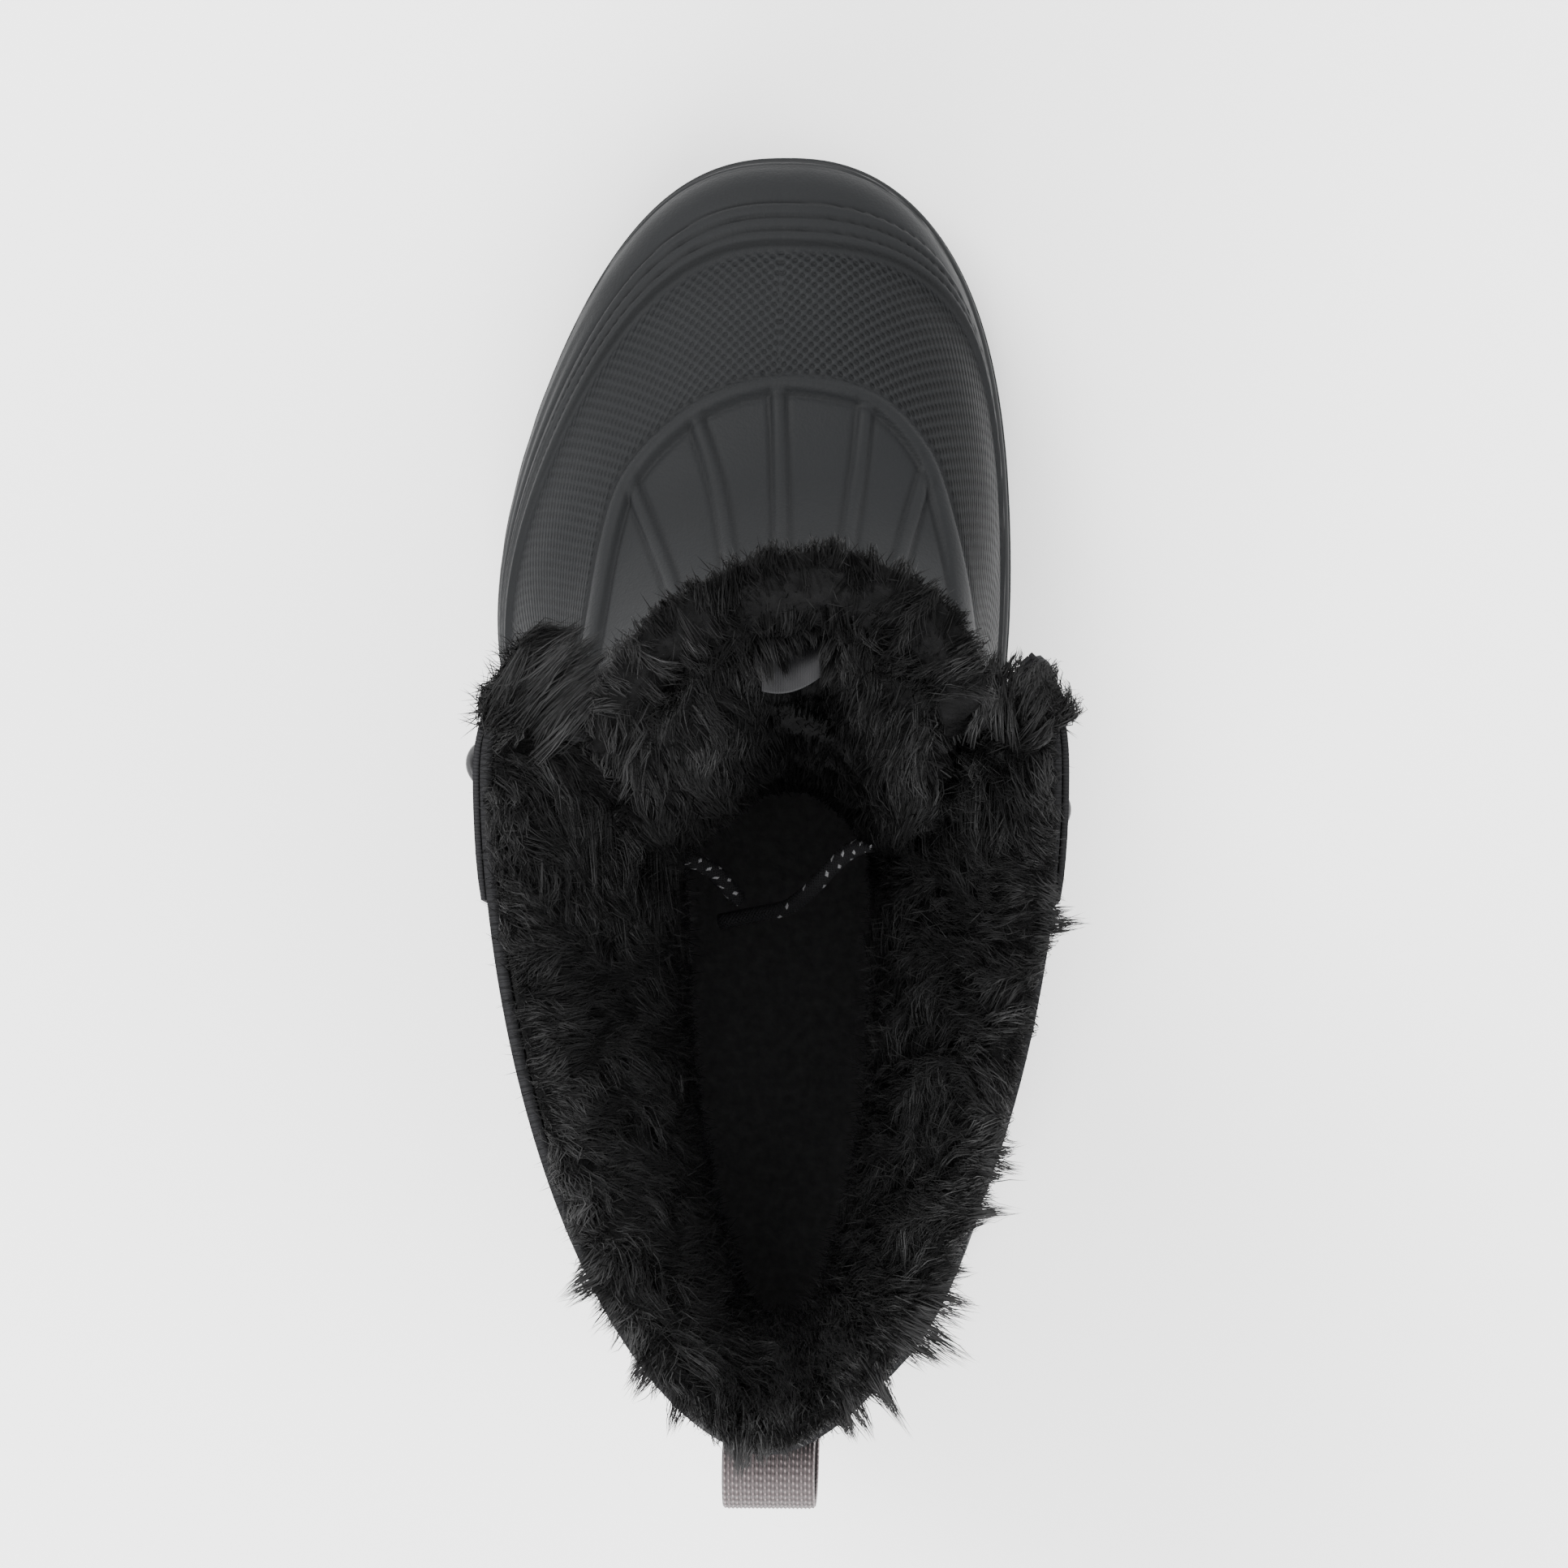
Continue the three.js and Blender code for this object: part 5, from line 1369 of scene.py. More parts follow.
def outline_at(table, step):
    index = np.clip(np.floor(step).astype(int), 0, len(table) - 2)
    share = (step - index)[..., None]
    return table[index] + share * (table[index + 1] - table[index])


def collar_pile_place(u, depth, rise, thinner):
    """Points of the collar's pile: u runs from its left front end round the back to the right."""
    start, end = COLLAR_PILE_RANGE
    angle = (start + (end - start) * u) * TURN
    edge = 0.5 + 0.5 * np.sqrt(np.clip(1 - np.abs(2 * u - 1) ** 20, 0, 1))
    height = wall_height(angle, rise)
    over = depth - COLLAR_PILE_BACK
    face = skin_point(angle, height, -np.minimum(depth, COLLAR_PILE_BACK))
    face[..., 2] = height
    spine = np.stack((section_at(height)["mid"],
                      np.clip(face[..., 1], PILE_SPINE[0] * FOOT_LENGTH,
                              PILE_SPINE[1] * FOOT_LENGTH), height), -1)
    inward = unit(spine - face)
    thin = 1 - BACK_THINNING * np.maximum(0, -np.sin(angle)) ** 2
    return face + inward * (np.maximum(over, 0) * thin * edge * thinner)[..., None]


def tongue_pile_place(u, depth, rise, thinner):
    across = 2 * u - 1
    edge = 0.45 + 0.55 * np.sqrt(np.clip(1 - np.abs(across) ** 5, 0, 1))
    height = TONGUE_BOTTOM + rise * (TONGUE_TOP - TONGUE_BOTTOM)
    over = depth - PILE_BACK
    valley = 1 - 0.8 * hump(across, 0.06, 0.3) * (1 - smooth_share(rise, 0.84, 0.98))
    return tongue_point(across, height,
                        np.where(over > 0, PILE_BACK + over * edge * valley * thinner, depth))


def swept_body(place, table, slices, thinner):
    """Closed body of an outline swept along u, filled at its ends."""
    closed = np.concatenate((table, table[:1]))
    corners = outline_at(closed, np.arange(0, len(table), 0.5))
    u = np.linspace(0, 1, slices)[:, None]
    u, depth = np.broadcast_arrays(u, corners[None, :, 0])
    rise = np.broadcast_to(corners[None, :, 1], u.shape)
    return capped(place(u, depth, rise, thinner))


class PileFace:
    """Face of one pile: its points and directions at places along it and round its outline."""

    def __init__(self, place, table, trim=0.0):
        self.place, self.table, self.last = place, np.asarray(table, float), len(table) - 1.001
        self.trim = trim

    def point(self, u, row):
        corner = outline_at(self.table, np.clip(row, 0, self.last))
        return self.place(np.clip(u, 0, 1), corner[:, 0], corner[:, 1], PILE_THINNER)

    def frame(self, u, row):
        """Change of a point along u and along the outline, and the outward direction."""
        step, rise = 0.003, 0.05
        u = np.clip(u, step, 1 - step)
        row = np.clip(row, rise, self.last - rise)
        over = (self.point(u + step, row) - self.point(u - step, row)) / (2 * step)
        up = (self.point(u, row + rise) - self.point(u, row - rise)) / (2 * rise)
        out = unit(np.cross(up, over))
        core = self.place(u, np.full(u.shape, 7.0), np.full(u.shape, 0.86), PILE_THINNER)
        inward = ((self.point(u, row) - core) * out).sum(1) < 0
        return over, up, out * np.where(inward, -1, 1)[:, None]


def ribbons(paths, radius, facing):
    """Tapered flat hairs of four points each, turned to face a direction."""
    along = unit(np.gradient(paths, axis=1))[:, :3]
    side = unit(np.cross(along, facing[:, None]))
    reach = (radius[:, None] * np.array((1.0, 0.9, 0.65)))[..., None]
    count = len(paths)
    points = np.empty((count, 7, 3))
    points[:, 0:6:2] = paths[:, :3] - side * reach
    points[:, 1:6:2] = paths[:, :3] + side * reach
    points[:, 6] = paths[:, 3]
    start = (np.arange(count) * 7)[:, None, None]
    quads = np.array(((0, 1, 3, 2), (2, 3, 5, 4)))
    tips = np.array(((4, 5, 6),))
    return points.reshape(-1, 3), (quads + start).reshape(-1, 4), (tips + start).reshape(-1, 3)


def point_shades(shade, steps):
    """Shade of each point of some hairs, from their roots to their tips."""
    return np.repeat(shade[:, None] * np.array(steps), 2, axis=1)[:, :7]


# Which way the pile is combed, seen from above: a place in millimetres and a direction.
COLLAR_COMB = np.array((
    (-49, 30, 0.78, 0.62), (-39, 35, 0.80, 0.60), (-34, 30, 0.75, 0.35), (-52, 17, 0.30, 0.60),
    (-51, 1, 0.20, -0.90), (-58, -20, 0.25, -0.90), (-42, -20, 0.35, -0.90),
    (-34, -18, 0.10, -1.0), (-30, -27, 0.05, -1.0), (-23, -34, 0.50, -0.80),
    (-46, -41, 0.80, 0.50), (-23, -50, 0.90, -0.40), (-14, -48, 0.80, -0.50),
    (-44, -57, 0.90, 0.20), (-28, -62, 0.30, -0.90), (-32, -73, 0.60, -0.70),
    (-18, -78, 0.75, -0.60), (-30, -94, 0.60, -0.80), (-14, -99, 0.75, -0.65),
    (-32, -110, 0.35, -0.90), (-14, -112, 0.80, -0.60), (-5, -110, 0.80, -0.50),
    (-23, -126, 0.30, -0.95), (-7, -131, 0.70, -0.50), (-14, -140, 0.0, -1.0),
    (5, -136, 0.20, -0.70), (19, -133, 0.30, -0.80), (28, -122, 0.40, -0.90),
    (32, -103, 0.55, 0.80), (23, -96, 0.70, 0.70), (35, -78, 0.40, 0.90), (42, -73, 0.30, 0.95),
    (49, -83, 0.90, -0.15), (49, -99, 0.90, -0.30), (42, -112, 0.80, -0.60),
    (35, -124, 0.60, -0.80), (23, -76, 0.90, 0.30), (46, -50, 0.60, 0.60), (53, -60, 0.60, -0.70),
    (30, -32, 0.30, 0.90), (42, -30, 0.70, -0.30), (60, -25, 0.95, 0.10), (28, -53, 0.20, 1.0),
    (53, -4, 0.40, -0.90), (60, 28, 0.30, 0.95), (58, 17, 0.30, 0.90), (53, 5, 0.30, -0.95),
    (62, 3, 0.30, -0.90),
))
TONGUE_COMB = np.array((
    (-32, 12, 0.10, -1.0), (-23, 8, 0.15, -1.0), (-14, 12, 0.10, -1.0), (-38, 8, 0.30, -0.95),
    (-28, 24, -0.35, 0.60), (-14, 33, -0.40, 0.80), (-5, 40, -0.40, 0.90), (12, 48, 0.0, 1.0),
    (23, 48, 0.15, 1.0), (37, 41, 0.40, 0.90), (49, 32, 0.70, 0.60), (-5, 26, 0.30, -0.90),
    (7, 35, 0.10, -1.0), (16, 35, -0.10, -1.0), (0, 12, 0.20, -1.0), (35, 26, 0.60, 0.50),
    (28, 19, -0.40, -0.70), (29, 3, 0.35, -0.90), (39, 5, -0.30, -0.90), (46, 15, 0.20, -0.90),
))


def combed(points, comb):
    """Direction of the comb at some points, in plan, from the nearest places of its list."""
    off = points[:, None, :2] - comb[None, :, :2]
    weight = 1 / ((off**2).sum(-1) + 10.0) ** 1.7
    flow = (weight[..., None] * comb[None, :, 2:]).sum(1) / weight.sum(1)[:, None]
    x, y = points[:, 0], points[:, 1]
    turn = (0.42 * np.sin(x / 2.9 + 1.7 * np.sin(y / 4.3))
            + 0.34 * np.sin(y / 2.3 + 1.5 * np.sin(x / 3.7)))
    return np.column_stack((flow[:, 0] * np.cos(turn) - flow[:, 1] * np.sin(turn),
                            flow[:, 0] * np.sin(turn) + flow[:, 1] * np.cos(turn)))


def heaped(points):
    """Height of the pile's soft heaps at some points, from -1 to 1."""
    x, y, z = points[:, 0], points[:, 1], points[:, 2]
    return (0.5 * np.sin(x / 2.4 + 1.3 * np.sin(y / 3.3)) + 0.3 * np.sin(y / 2.0 + z / 3.1)
            + 0.2 * np.sin((x + y) / 1.4 + z / 2.0))


def painted_light_share(points):
    """Share of the plain shade: less at the tongue's front, more on its left and at the back."""
    x, y = points[:, 0], points[:, 1]
    return (1 - 0.6 * smooth_share(y, 26, 40) + 0.6 * (1 - smooth_share(y, -110, -30))
            + 0.4 * hump(x, -18, 14) * hump(y, 13, 15))


def parted(points):
    """Share of the hollow in the middle of the tongue, where its pile is short and dark."""
    x, y = points[:, 0], points[:, 1]
    across = (x - 10.5) / np.interp(y, (-20, 5, 15, 24, 34), (20, 16, 13.5, 9.5, 4.5))
    return np.exp(-across**4) * smooth_share(y, -40, -10) * (1 - smooth_share(y, 30, 37))


# Where the collar's pile stands out over the rim: place along it, reach and strength.
RIM_TUFTS = ((0.822, 0.016, 0.8), (0.645, 0.12, 1.0), (0.37, 0.05, 0.9), (0.465, 0.06, 0.8))

# Pointed locks on the front corners and over the tag: root, tip, half width and count of hairs.
POINTED_LOCKS = (
    ((-50, 26, 217), (-34.5, 39.0, 221), 3.6, 110), ((-45, 21, 219), (-27.2, 32.6, 220), 3.4, 120),
    ((-51, 20, 219), (-36.0, 34.5, 223), 3.6, 100), ((-55, 18, 218), (-47, 35.0, 221), 3.0, 80),
    ((-47, 14, 219), (-31, 27.5, 221), 3.6, 110), ((-47, 24, 219), (-30.2, 36.0, 221), 3.4, 110),
    ((-44, 18, 220), (-28.6, 30.0, 221), 3.2, 110), ((-46, 10, 219), (-35.5, 22.5, 221), 3.2, 90),
    ((53, 25, 218), (54.6, 32.9, 219), 2.2, 50), ((56, 24, 218), (58.1, 31.6, 219), 2.2, 50),
    ((57, 21, 218), (60.6, 29.0, 219), 2.2, 50), ((58, 18, 218), (62.6, 26.0, 219), 2.2, 50),
    ((59, 14, 218), (64.6, 22.6, 218), 2.0, 45), ((60, 10, 218), (66.0, 17.6, 218), 2.0, 45),
    ((62, -18, 217), (67.2, -20.0, 218), 2.2, 50), ((62, -21, 217), (67.9, -23.6, 218), 2.4, 55),
    ((62, -24, 217), (67.4, -27.0, 218), 2.2, 50),
    ((2, 36, 222), (6.0, 25.5, 223), 2.0, 50), ((4, 37, 222), (8.6, 27.8, 223), 2.2, 60),
    ((7, 38.5, 222), (11.6, 29.8, 223), 2.2, 60), ((10, 39, 222), (14.6, 31.8, 223), 2.0, 50),
    ((2, 33, 222), (4.6, 22.5, 223), 2.4, 70), ((5, 34, 222), (7.6, 25.0, 223), 2.4, 70),
    ((8, 35, 222), (10.6, 28.0, 223), 2.2, 60), ((11, 37, 222), (13.4, 30.8, 223), 2.0, 50),
    ((18.0, 36, 221), (15.0, 26.0, 222.5), 1.8, 45), ((18.5, 32, 220), (15.4, 22.8, 221.5), 1.8, 45),
    ((56, 12, 216), (55.5, 24.0, 217), 2.2, 60), ((57, 16, 216), (56.5, 28.0, 217), 2.2, 60),
    ((55, 20, 216), (55.4, 31.8, 217), 2.2, 60), ((54, 14, 215), (53.8, 26.5, 216), 2.2, 60),
    ((49, 20, 216), (52.5, 30.5, 217), 2.4, 60), ((51, 22, 216), (54.0, 31.5, 218), 2.4, 60),
    ((50, 15, 215), (52.8, 24.5, 216), 2.4, 60), ((48, 12, 214), (51.5, 20.0, 215), 2.4, 60),
)


def rim_strength(u):
    strength = sum(s * np.exp(-(((u - c) / w) ** 4)) for c, w, s in RIM_TUFTS)
    return np.clip(strength * (0.75 + 0.4 * np.sin(163 * u + 2 * np.sin(61 * u))), 0, 1.1)


def even_places(face, span, rows, count, rng):
    """Places over a pile's face, as many to each bit of its area."""
    cells = 60
    u_edges, row_edges = np.linspace(*span, cells + 1), np.linspace(*rows, cells + 1)
    grid_u, grid_row = np.meshgrid(u_edges, row_edges, indexing="ij")
    points = face.point(grid_u.ravel(), grid_row.ravel()).reshape(cells + 1, cells + 1, 3)
    over, up = points[1:, :-1] - points[:-1, :-1], points[:-1, 1:] - points[:-1, :-1]
    area = np.linalg.norm(np.cross(over, up), axis=-1)
    by_u = np.concatenate(([0.0], np.cumsum(area.sum(1))))
    by_row = np.concatenate((np.zeros((cells, 1)), np.cumsum(area, axis=1)), axis=1)
    first = (np.arange(count) + rng.random(count)) / count * by_u[-1]
    second = (np.arange(count) * GOLDEN_SHARE + 0.2 * rng.random(count)) % 1
    strip_of = np.clip(np.searchsorted(by_u, first) - 1, 0, cells - 1)
    u = np.interp(first, by_u, u_edges)
    row = [np.interp(share * by_row[k, -1], by_row[k], row_edges)
           for k, share in zip(strip_of, second)]
    return u, np.array(row)


def lock_paths(face, u, row, length, stand, comb, rng):
    """Four points of each lock, from its root along the face, with its way and facing."""
    over, up, out = face.frame(u, row)
    point = face.point(u, row) + out * (1.8 * heaped(face.point(u, row)))[:, None]
    root, root_out = point, out
    middle = np.column_stack((np.full(len(root), COLLAR_MIDDLE_X),
                              np.clip(root[:, 1], *COLLAR_MIDDLE_Y), root[:, 2]))
    away = unit(root - middle)
    high = 0.6 + 0.8 * rng.random(len(u))
    wave, phase = 0.3 + 0.7 * rng.random(len(u)), TURN * rng.random(len(u))
    path = [point - out * 1.4]
    for step in range(3):
        plan = combed(point, comb)
        level = np.maximum(out[:, 2], 0.12)
        way = unit(np.column_stack((plan * level[:, None], -(plan * out[:, :2]).sum(1))))
        run = way * (length / 3)[:, None]
        a, b, c = (over * over).sum(1), (over * up).sum(1), (up * up).sum(1)
        p, q = (over * run).sum(1), (up * run).sum(1)
        size = np.maximum(a * c - b * b, 1e-6)
        next_u, next_row = u + (c * p - b * q) / size, row + (a * q - b * p) / size
        past = (next_u < 0) | (next_u > 1) | (next_row < 0) | (next_row > face.last)
        u, row = np.clip(next_u, 0, 1), np.clip(next_row, 0, face.last)
        if step == 0:
            first_way = way
        lean = first_way * 0.3 + away * 0.62 + root_out * 0.15
        straight = root + lean * (length * (step + 1) / 3)[:, None]
        point = np.where(past[:, None], point + run, face.point(u, row))
        over, up, out = face.frame(u, row)
        lift = (1.5, 2.1, 1.0)[step] * high
        side = np.cross(out, way) * (wave * np.sin(phase + 1.9 * step))[:, None]
        clear = point + out * lift[:, None] + side
        path.append(clear + (straight - clear) * stand[:, None])
    return np.stack(path, 1), first_way, root_out


def hairs_of(paths, way, out, per_lock, width, sizes, rng):
    """Hairs of some locks, drawn together at their tips, with a shade for each point."""
    locks = len(paths)
    which = np.repeat(np.arange(locks), per_lock)
    total = len(which)
    reach = 3 * (0.72 + 0.28 * rng.random(total))[:, None] * np.linspace(0, 1, 4)
    first = np.minimum(reach.astype(int), 2)
    share = (reach - first)[..., None]
    hair = np.arange(total)[:, None]
    line = paths[which]
    line = line[hair, first] * (1 - share) + line[hair, first + 1] * share
    side = unit(np.cross(out, way))
    wide = np.broadcast_to(np.asarray(width, float), (locks,))[which] / 2
    offset = sum(direction[which] * (rng.normal(0, spread, total) * wide)[:, None]
                 for direction, spread in ((side, 0.75), (way, 0.9), (out, 0.25)))
    gather = np.array((1.0, 0.88, 0.6, 0.3))
    frizz = np.array((0.0, 0.12, 0.24, 0.38))
    line = line + offset[:, None] * gather[:, None] + rng.normal(0, 1, (total, 4, 3)) * frizz[:, None]
    radius = sizes.hair_width / MM / 2 * (0.7 + 0.6 * rng.random(total))
    facing = unit(out[which] + side[which] * rng.normal(0, 0.6, total)[:, None])
    body = ribbons(line, radius, facing)
    place = paths[:, 1]
    # Painted light and shade: lighter on the heaps and darker between them, dark in the tongue's
    # hollow and at its front, lighter on its left, at the back and towards the tips.
    shade = 0.34 + 0.2 * rng.random(locks) + 0.2 * heaped(place)
    shade = shade * (1 - 0.9 * parted(place)) * painted_light_share(place)
    shade = shade[which] * (0.8 + 0.4 * rng.random(total))
    return body, point_shades(shade, (0.6, 0.95, 1.2, 1.4))


def undercoat(face, span, rows, count, sizes, rng):
    """Short hairs that stand between the locks' roots."""
    u, row = even_places(face, span, rows, count, rng)
    over, up, out = face.frame(u, row)
    aim = unit(out * 0.8 + unit(over) * rng.normal(0, 0.55, count)[:, None]
               + unit(up) * rng.normal(0, 0.55, count)[:, None])
    root = face.point(u, row) - out
    bend = unit(aim + rng.normal(0, 0.3, (count, 3)))
    length = ((4.5 + 3.5 * rng.random(count)) * (1 - 0.5 * parted(root)))[:, None]
    paths = np.stack((root, root + aim * length / 3, root + (aim + bend) * length / 3,
                      root + (aim + 2 * bend) * length / 3), 1)
    radius = sizes.hair_width / MM / 2 * (0.8 + 0.6 * rng.random(count))
    facing = unit(np.cross(aim, rng.normal(0, 1, (count, 3))))
    # Painted shade darkens the undercoat in the tongue's hollow, and its tips are painted lighter
    # than its roots.
    shade = (0.2 + 0.2 * rng.random(count)) * (1 - 0.9 * parted(root))
    return ribbons(paths, radius, facing), point_shades(shade, (0.6, 0.8, 1.0, 1.2))


def grown(face, span, rows, rim_row, locks, strength, comb, sizes, rng, share=1.0):
    """Locks and undercoat over a stretch of a pile's face."""
    u, row = even_places(face, span, rows, locks, rng)
    rim = smooth_share(row, rim_row - 1.2, rim_row + 0.3)
    stand = rim * strength(u)
    length = share * sizes.pile_length / MM * (0.8 + 0.45 * rng.random(locks))
    length = length * (1 - rim * (1 - stand) * 0.6) * (1 - 0.6 * parted(face.point(u, row)))
    length = length * (1 - face.trim * smooth_share(u, 0.93, 0.97))
    paths, way, out = lock_paths(face, u, row, length, stand, comb, rng)
    return [hairs_of(paths, way, out, HAIRS_PER_LOCK, sizes.lock_width / MM, sizes, rng),
            undercoat(face, span, rows, locks * UNDERCOAT_SHARE, sizes, rng)]


def pointed_locks(sizes, rng):
    """The hand-placed locks, each a bundle of small ones that bend a little."""
    groups = []
    for root, tip, half, count in POINTED_LOCKS:
        small = max(count // HAIRS_PER_POINTED_LOCK, 3)
        root, tip = np.array(root, float), np.array(tip, float)
        spread = rng.normal(0, 1, (small, 3)) * (0.5 * half, 0.5 * half, 0.4)
        roots = root + spread
        tips = tip + spread * 0.45 - rng.random(small)[:, None] * 0.13 * (tip - root)
        way = unit(tips - roots)
        side = np.cross((0.0, 0.0, 1.0), way) * rng.normal(0, 1.3, small)[:, None]
        out = np.tile((0.0, 0.0, 1.0), (small, 1))
        paths = np.stack([roots + (tips - roots) * t + out * rise + side * bend
                          for t, rise, bend in ((0, -3.0, 0), (0.35, 0.6, 0.8), (0.7, 0.7, 0.9),
                                                (1.0, 0.0, 0.3))], 1)
        groups.append(hairs_of(paths, way, out, HAIRS_PER_POINTED_LOCK, 0.9 * half, sizes, rng))
    return groups


def hair_piece(name, groups):
    """One piece from several groups of hairs."""
    shade = np.concatenate([shades.ravel() for _, shades in groups])
    piece(name, joined([body for body, _ in groups]), "pile", (), {"tone_and_painted_light": shade},
          turn_out=False)


# Pile on the wall's top edge at the front corners, in the first and the last quarter of the
# collar: its outline, its span along the collar and its share of the pile's length.
CORNER_PILES = {
    0: (((8.0, 1.018), (5.0, 1.024), (2.0, 1.022), (-0.5, 1.016), (-2.2, 1.006)), (0.0, 0.1), 0.9),
    3: (((8.0, 1.014), (5.5, 1.018), (3.0, 1.016), (1.2, 1.010), (-0.2, 1.004)), (0.935, 0.985), 0.4),
}


def build_pile():
    sizes = bpy.context.scene.snow_boot_sizes
    collar = PileFace(collar_pile_place, COLLAR_PILE, RIGHT_END_TRIM)
    tongue = PileFace(tongue_pile_place, TONGUE_PILE)
    for name, face, slices in (("collar", collar, 160), ("tongue", tongue, 50)):
        body = swept_body(face.place, face.table, slices, PILE_THINNER - 0.03)
        piece(f"{name}_pile_base", body, "pile_base", (f"{name}_fur",))
    rng = np.random.default_rng(11)
    share = 1.0
    for k in range(4):
        span = (k / 4, (k + 1) / 4)
        groups = grown(collar, span, (1.6, 9.2), 7.6, int(sizes.collar_locks / 4 * share),
                       rim_strength, COLLAR_COMB, sizes, rng)
        groups += grown(collar, span, (7.5, 9.2), 6.5, int(100 * share), rim_strength, COLLAR_COMB,
                        sizes, rng)
        if k in CORNER_PILES:
            outline, span, length = CORNER_PILES[k]
            groups += grown(PileFace(collar_pile_place, outline), span, (0.0, 3.9), 9.0,
                            int(150 * share), np.zeros_like, COLLAR_COMB, sizes, rng, length)
        if k == 3:
            groups += pointed_locks(sizes, rng)
        hair_piece(f"collar_hair_{k + 1}", groups)
    groups = grown(tongue, (0.0, 1.0), (1.6, 11.0), 9.5, int(sizes.tongue_locks * share),
                   lambda u: 0.12 + 0.35 * hump(u, 0.56, 0.16), TONGUE_COMB, sizes, rng)
    hair_piece("tongue_hair", groups)


# Tag and pull loop

TAG_LINE = np.array(((37, 209.5), (33, 215), (28.5, 218.6), (22.5, 219.5)))
TAG_SIDES = (2.5, 15.5)
LOOP_WIDTH = 20.2
LOOP_RIBS = 23
PULL_LOOP_PATH = ((0.30, 167), (0.30, 175), (4.5, 181), (11, 188), (14, 197), (12.5, 206),
                  (6, 209.5), (0.30, 207), (0.30, 197))


def strip(line, width, thickness, columns, centre_x, waves=0.0, wave_count=0):
    """Flat strip along a line in the (y, z) plane, with ribs across where waves are given."""
    along = unit(np.gradient(line, axis=0))
    out = np.column_stack((-along[:, 1], along[:, 0]))
    across = np.linspace(-0.5, 0.5, columns)
    ribs = waves * np.cos(TURN * wave_count * across)
    edge = 1 - 0.5 * np.exp(-(((np.abs(across) - 0.5) * width / 0.5) ** 2))
    grids = []
    for side in (1, -1):
        reach = side * (thickness / 2 * edge + ribs)
        points = np.empty((len(line), columns, 3))
        points[..., 0] = centre_x + across * width
        points[..., 1] = line[:, 0][:, None] + out[:, 0][:, None] * reach
        points[..., 2] = line[:, 1][:, None] + out[:, 1][:, None] * reach
        grids.append(points)
    cloth = np.zeros(grids[0].shape)
    cloth[..., 0] = across * width
    cloth[..., 1] = run_along(line)[:, None]
    cloth = cloth.reshape(-1, 3)
    return two_sided(*grids), np.concatenate((cloth, cloth))


def build_tag():
    middle, width = sum(TAG_SIDES) / 2, TAG_SIDES[1] - TAG_SIDES[0]
    body, cloth = strip(flat_line(TAG_LINE, 40), width, 0.8, 30, middle)
    points = body[0]
    across = (points[:, 0] - middle) / (width / 2)
    low = 1 - smooth_share(points[:, 1], TAG_LINE[-1, 0], TAG_LINE[0, 0])
    points[:, 1] += low * (1.6 * across + 1.8 * across * across)
    points[:, 2] += 0.5 * np.sin(across * 1.6) - 0.8 * low * across * across
    piece("blank_tag", body, "satin", ("tag",), {"cloth": cloth})


def build_pull_loop():
    out, height = np.array(PULL_LOOP_PATH, float).T
    back = form_point(-FRONT, height)[:, 1] - GAP
    line = flat_line(np.column_stack((back - out, height)), 90)
    middle = SECTIONS[-1, SECTION_COLUMNS.index("rear")] * BALL_WIDTH
    body, cloth = strip(line, LOOP_WIDTH, 1.3, 93, middle, 0.16, LOOP_RIBS)
    piece("pull_strap", body, "loop_webbing", ("pull_loop",), {"cloth": cloth})


# Stage

LIGHT_AIM = Vector((0, 0, 0.1))
FLOOR_REACH = 3.0


def area_light(name, place, size, power):
    data = bpy.data.lights.new(name, "AREA")
    data.energy, data.size = power, size
    made = placed(name, data)
    made.location = place
    made.rotation_euler = (LIGHT_AIM - made.location).to_track_quat("-Z", "Y").to_euler()


def build_stage():
    sizes = bpy.context.scene.snow_boot_sizes
    scene = bpy.context.scene
    camera = placed("camera", bpy.data.cameras.new("camera"))
    target = Vector(((1.7 + SHIFT[0]) * MM, (0.2 + SHIFT[1]) * MM, 0.095))
    camera.location = Vector((0.080 + SHIFT[0] * MM, 0.034 + SHIFT[1] * MM, sizes.camera_height))
    away = (target - camera.location).length
    backward = (camera.location - target).normalized()
    rightward = Vector((0, 1, 0)).cross(backward).normalized()
    upward = backward.cross(rightward)
    camera.rotation_euler = Matrix((rightward, upward, backward)).transposed().to_euler()
    camera.data.angle = 2 * math.atan(sizes.frame_width / 2 / away)
    scene.camera = camera
    floor = bpy.data.meshes.new("studio_floor")
    floor.from_pydata([(x * FLOOR_REACH, y * FLOOR_REACH, 0)
                       for x, y in ((-1, -1), (1, -1), (1, 1), (-1, 1))], [], [(0, 1, 2, 3)])
    floor.materials.append(finish_of("floor"))
    placed("studio_floor", floor)
    world = bpy.data.worlds.new("studio")
    world.use_nodes = True
    sky = world.node_tree.nodes["Background"].inputs
    sky["Color"].default_value = (1, 1, 1, 1)
    sky["Strength"].default_value = sizes.sky_strength
    scene.world = world
    area_light("key", (-1.3, 1.5, 2.6), 1.6, sizes.key_power)
    area_light("fill", (1.8, -0.8, 2.2), 2.0, sizes.fill_power)
    area_light("back", (-0.4, -2.0, 1.6), 1.6, sizes.back_power)


# Settings, operators and panel

def colour_of(name, value, about):
    return FloatVectorProperty(name=name, description=about, subtype="COLOR", size=3, min=0, max=1,
                               default=value)


def length_of(name, value, low, high, about):
    return FloatProperty(name=name, description=about, default=value, min=low, max=high,
                         subtype="DISTANCE", unit="LENGTH")


def count_of(name, value, low, high, about):
    return IntProperty(name=name, description=about, default=value, min=low, max=high)


def strength_of(name, value, high, about):
    return FloatProperty(name=name, description=about, default=value, min=0, max=high)


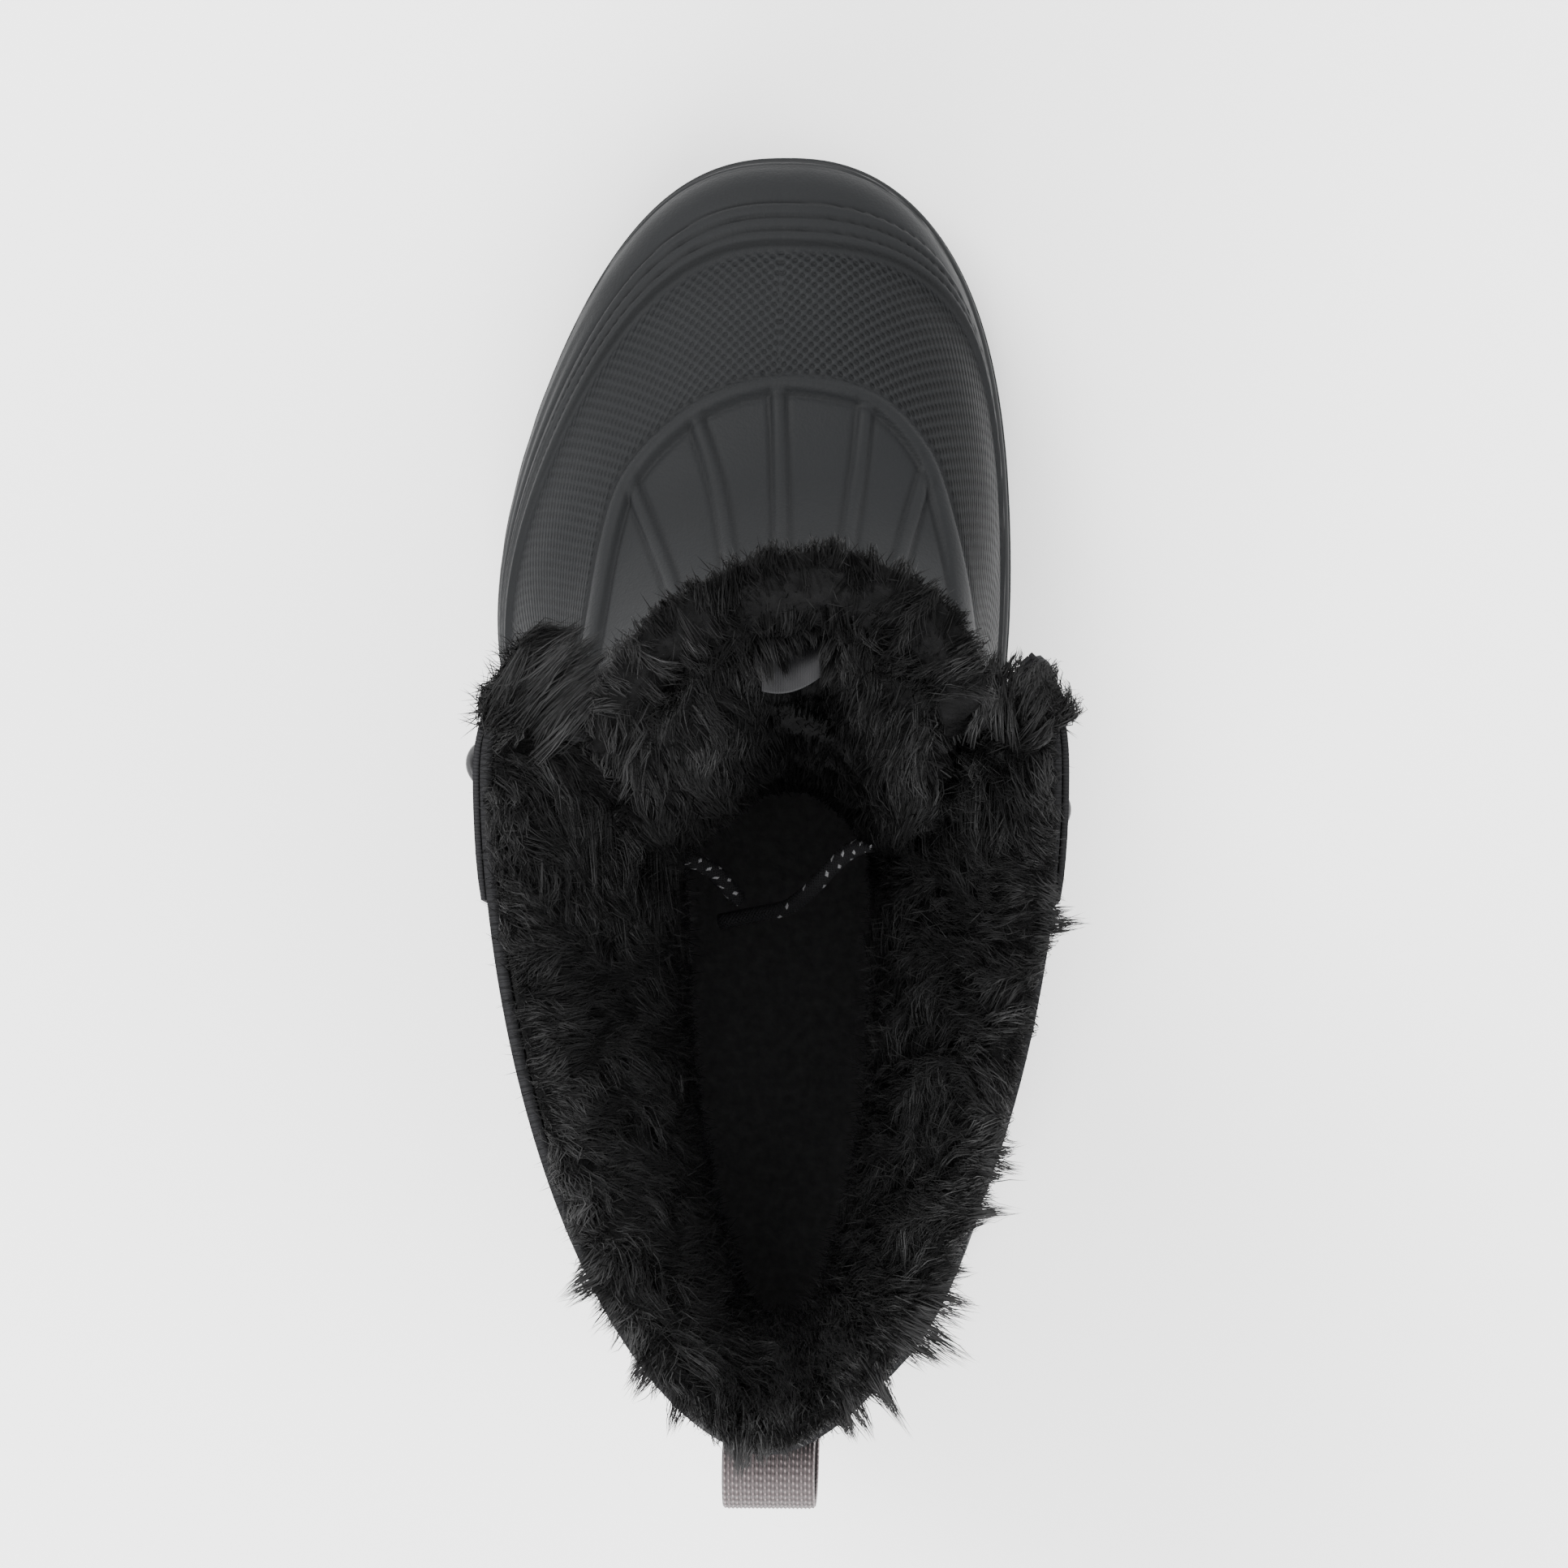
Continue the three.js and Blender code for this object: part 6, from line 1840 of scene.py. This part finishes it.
class SnowBootColours(bpy.types.PropertyGroup):
    """Colours of the boot's materials, linear."""
    rubber: colour_of("Rubber", (0.0086, 0.0091, 0.0098), "Shell over the foot")
    sole: colour_of("Sole", (0.0100, 0.0105, 0.0112), "Outsole")
    nylon: colour_of("Nylon", (0.0080, 0.0080, 0.0088), "Shaft and tongue cloth")
    webbing: colour_of("Webbing", (0.0080, 0.0080, 0.0088), "Eyestays and binding")
    loop_webbing: colour_of("Loop webbing", (0.068, 0.049, 0.051), "Pull loop")
    loop_threads: colour_of("Loop threads", (0.30, 0.245, 0.245), "Light threads of the pull loop")
    lace: colour_of("Lace", (0.0068, 0.0068, 0.0076), "Lace braid")
    lace_flecks: colour_of("Lace flecks", (0.26, 0.26, 0.27), "Light flecks of the lace")
    satin: colour_of("Satin", (0.0115, 0.0115, 0.0125), "Blank tag")
    plastic: colour_of("Plastic", (0.012, 0.012, 0.013), "Lace loops")
    felt: colour_of("Felt", (0.034, 0.034, 0.036), "Insole")
    pile_base: colour_of("Pile base", (0.0052, 0.0052, 0.0053), "Cloth under the pile")
    pile: colour_of("Pile", (0.0061, 0.0061, 0.0062), "Hair of the pile")
    stitches: colour_of("Stitches", (0.008, 0.008, 0.009), "Sewing thread")
    floor: colour_of("Floor", (0.95, 0.95, 0.95), "Studio floor")


class SnowBootSizes(bpy.types.PropertyGroup):
    """Sizes of the details that are dressed over the boot's form."""
    weave_pitch: length_of("Weave pitch", 0.0024, 0.001, 0.01, "Basket cells of the shell")
    rib_width: length_of("Rib width", 0.0035, 0.001, 0.01, "Ribs of the fan behind the toe")
    lace_diameter: length_of("Lace diameter", 0.0038, 0.001, 0.008, "Round lace")
    pile_length: length_of("Pile length", 0.0135, 0.002, 0.03, "Hair of the pile")
    lock_width: length_of("Lock width", 0.0030, 0.001, 0.02, "Locks of the pile at their root")
    hair_width: length_of("Hair width", 0.00023, 0.0001, 0.002, "Thickness of a hair")
    collar_locks: count_of("Collar locks", 4150, 100, 9000, "Locks of the collar's pile")
    tongue_locks: count_of("Tongue locks", 1050, 50, 4000, "Locks of the tongue's pile")
    camera_height: length_of("Camera height", 1.8, 0.5, 5, "Camera above the floor")
    frame_width: length_of("Frame width", 0.365, 0.1, 2, "Width seen at the boot")
    sky_strength: strength_of("Sky", 2.2, 5, "Even light from all round")
    key_power: strength_of("Key light", 108, 500, "Light from the upper left")
    fill_power: strength_of("Fill light", 48, 500, "Light from the right")
    back_power: strength_of("Back light", 115, 500, "Light from behind the heel")


def operator_of(key, label, about, build):
    """Operator class that builds one piece or one group of like pieces."""
    def execute(self, context):
        build()
        return {"FINISHED"}

    return type(f"SNOW_BOOT_OT_{key}", (bpy.types.Operator,), {
        "__doc__": about, "bl_idname": f"snow_boot.{key}", "bl_label": label, "execute": execute})


OPERATORS = (
    operator_of("stage", "Stage", "Sets the camera, the floor and the lights", build_stage),
    operator_of("laces", "Laces", "Runs the lace through its loops", build_laces),
    operator_of("sole", "Sole", "Dresses the outsole and the insole", build_sole),
    operator_of("shell", "Shell", "Moulds the rubber shell with its reliefs", build_shell),
    operator_of("upper", "Upper", "Sews the shaft", build_upper),
    operator_of("eyestays", "Eyestays", "Sews the webbing beside the throat", build_eyestays),
    operator_of("loops", "Lace loops", "Moulds the lace loops", build_lace_loops),
    operator_of("tongue", "Tongue", "Pads the tongue and binds its edge", build_tongue),
    operator_of("pile", "Pile", "Grows the pile of the collar and the tongue", build_pile),
    operator_of("tag", "Tag", "Sews in the blank tag", build_tag),
    operator_of("pull_loop", "Pull loop", "Sews on the pull loop", build_pull_loop),
)


class SNOW_BOOT_PT_main(bpy.types.Panel):
    """Sidebar panel with a button for each part of the boot"""
    bl_label = "Snow boot"
    bl_idname = "SNOW_BOOT_PT_main"
    bl_space_type = "VIEW_3D"
    bl_region_type = "UI"
    bl_category = "Snow boot"

    def draw(self, context):
        column = self.layout.column(align=True)
        for operator in OPERATORS:
            column.operator(operator.bl_idname)
        for group in (context.scene.snow_boot_colours, context.scene.snow_boot_sizes):
            box = self.layout.box()
            for key in group.__annotations__:
                box.prop(group, key)


CLASSES = (SnowBootColours, SnowBootSizes, *OPERATORS, SNOW_BOOT_PT_main)


def register():
    for cls in CLASSES:
        bpy.utils.register_class(cls)
    bpy.types.Scene.snow_boot_colours = PointerProperty(type=SnowBootColours)
    bpy.types.Scene.snow_boot_sizes = PointerProperty(type=SnowBootSizes)


def unregister():
    del bpy.types.Scene.snow_boot_sizes
    del bpy.types.Scene.snow_boot_colours
    for cls in reversed(CLASSES):
        bpy.utils.unregister_class(cls)


def main():
    register()
    for operator in OPERATORS:
        getattr(bpy.ops.snow_boot, operator.bl_idname.split(".")[1])()


if __name__ == "__main__":
    main()
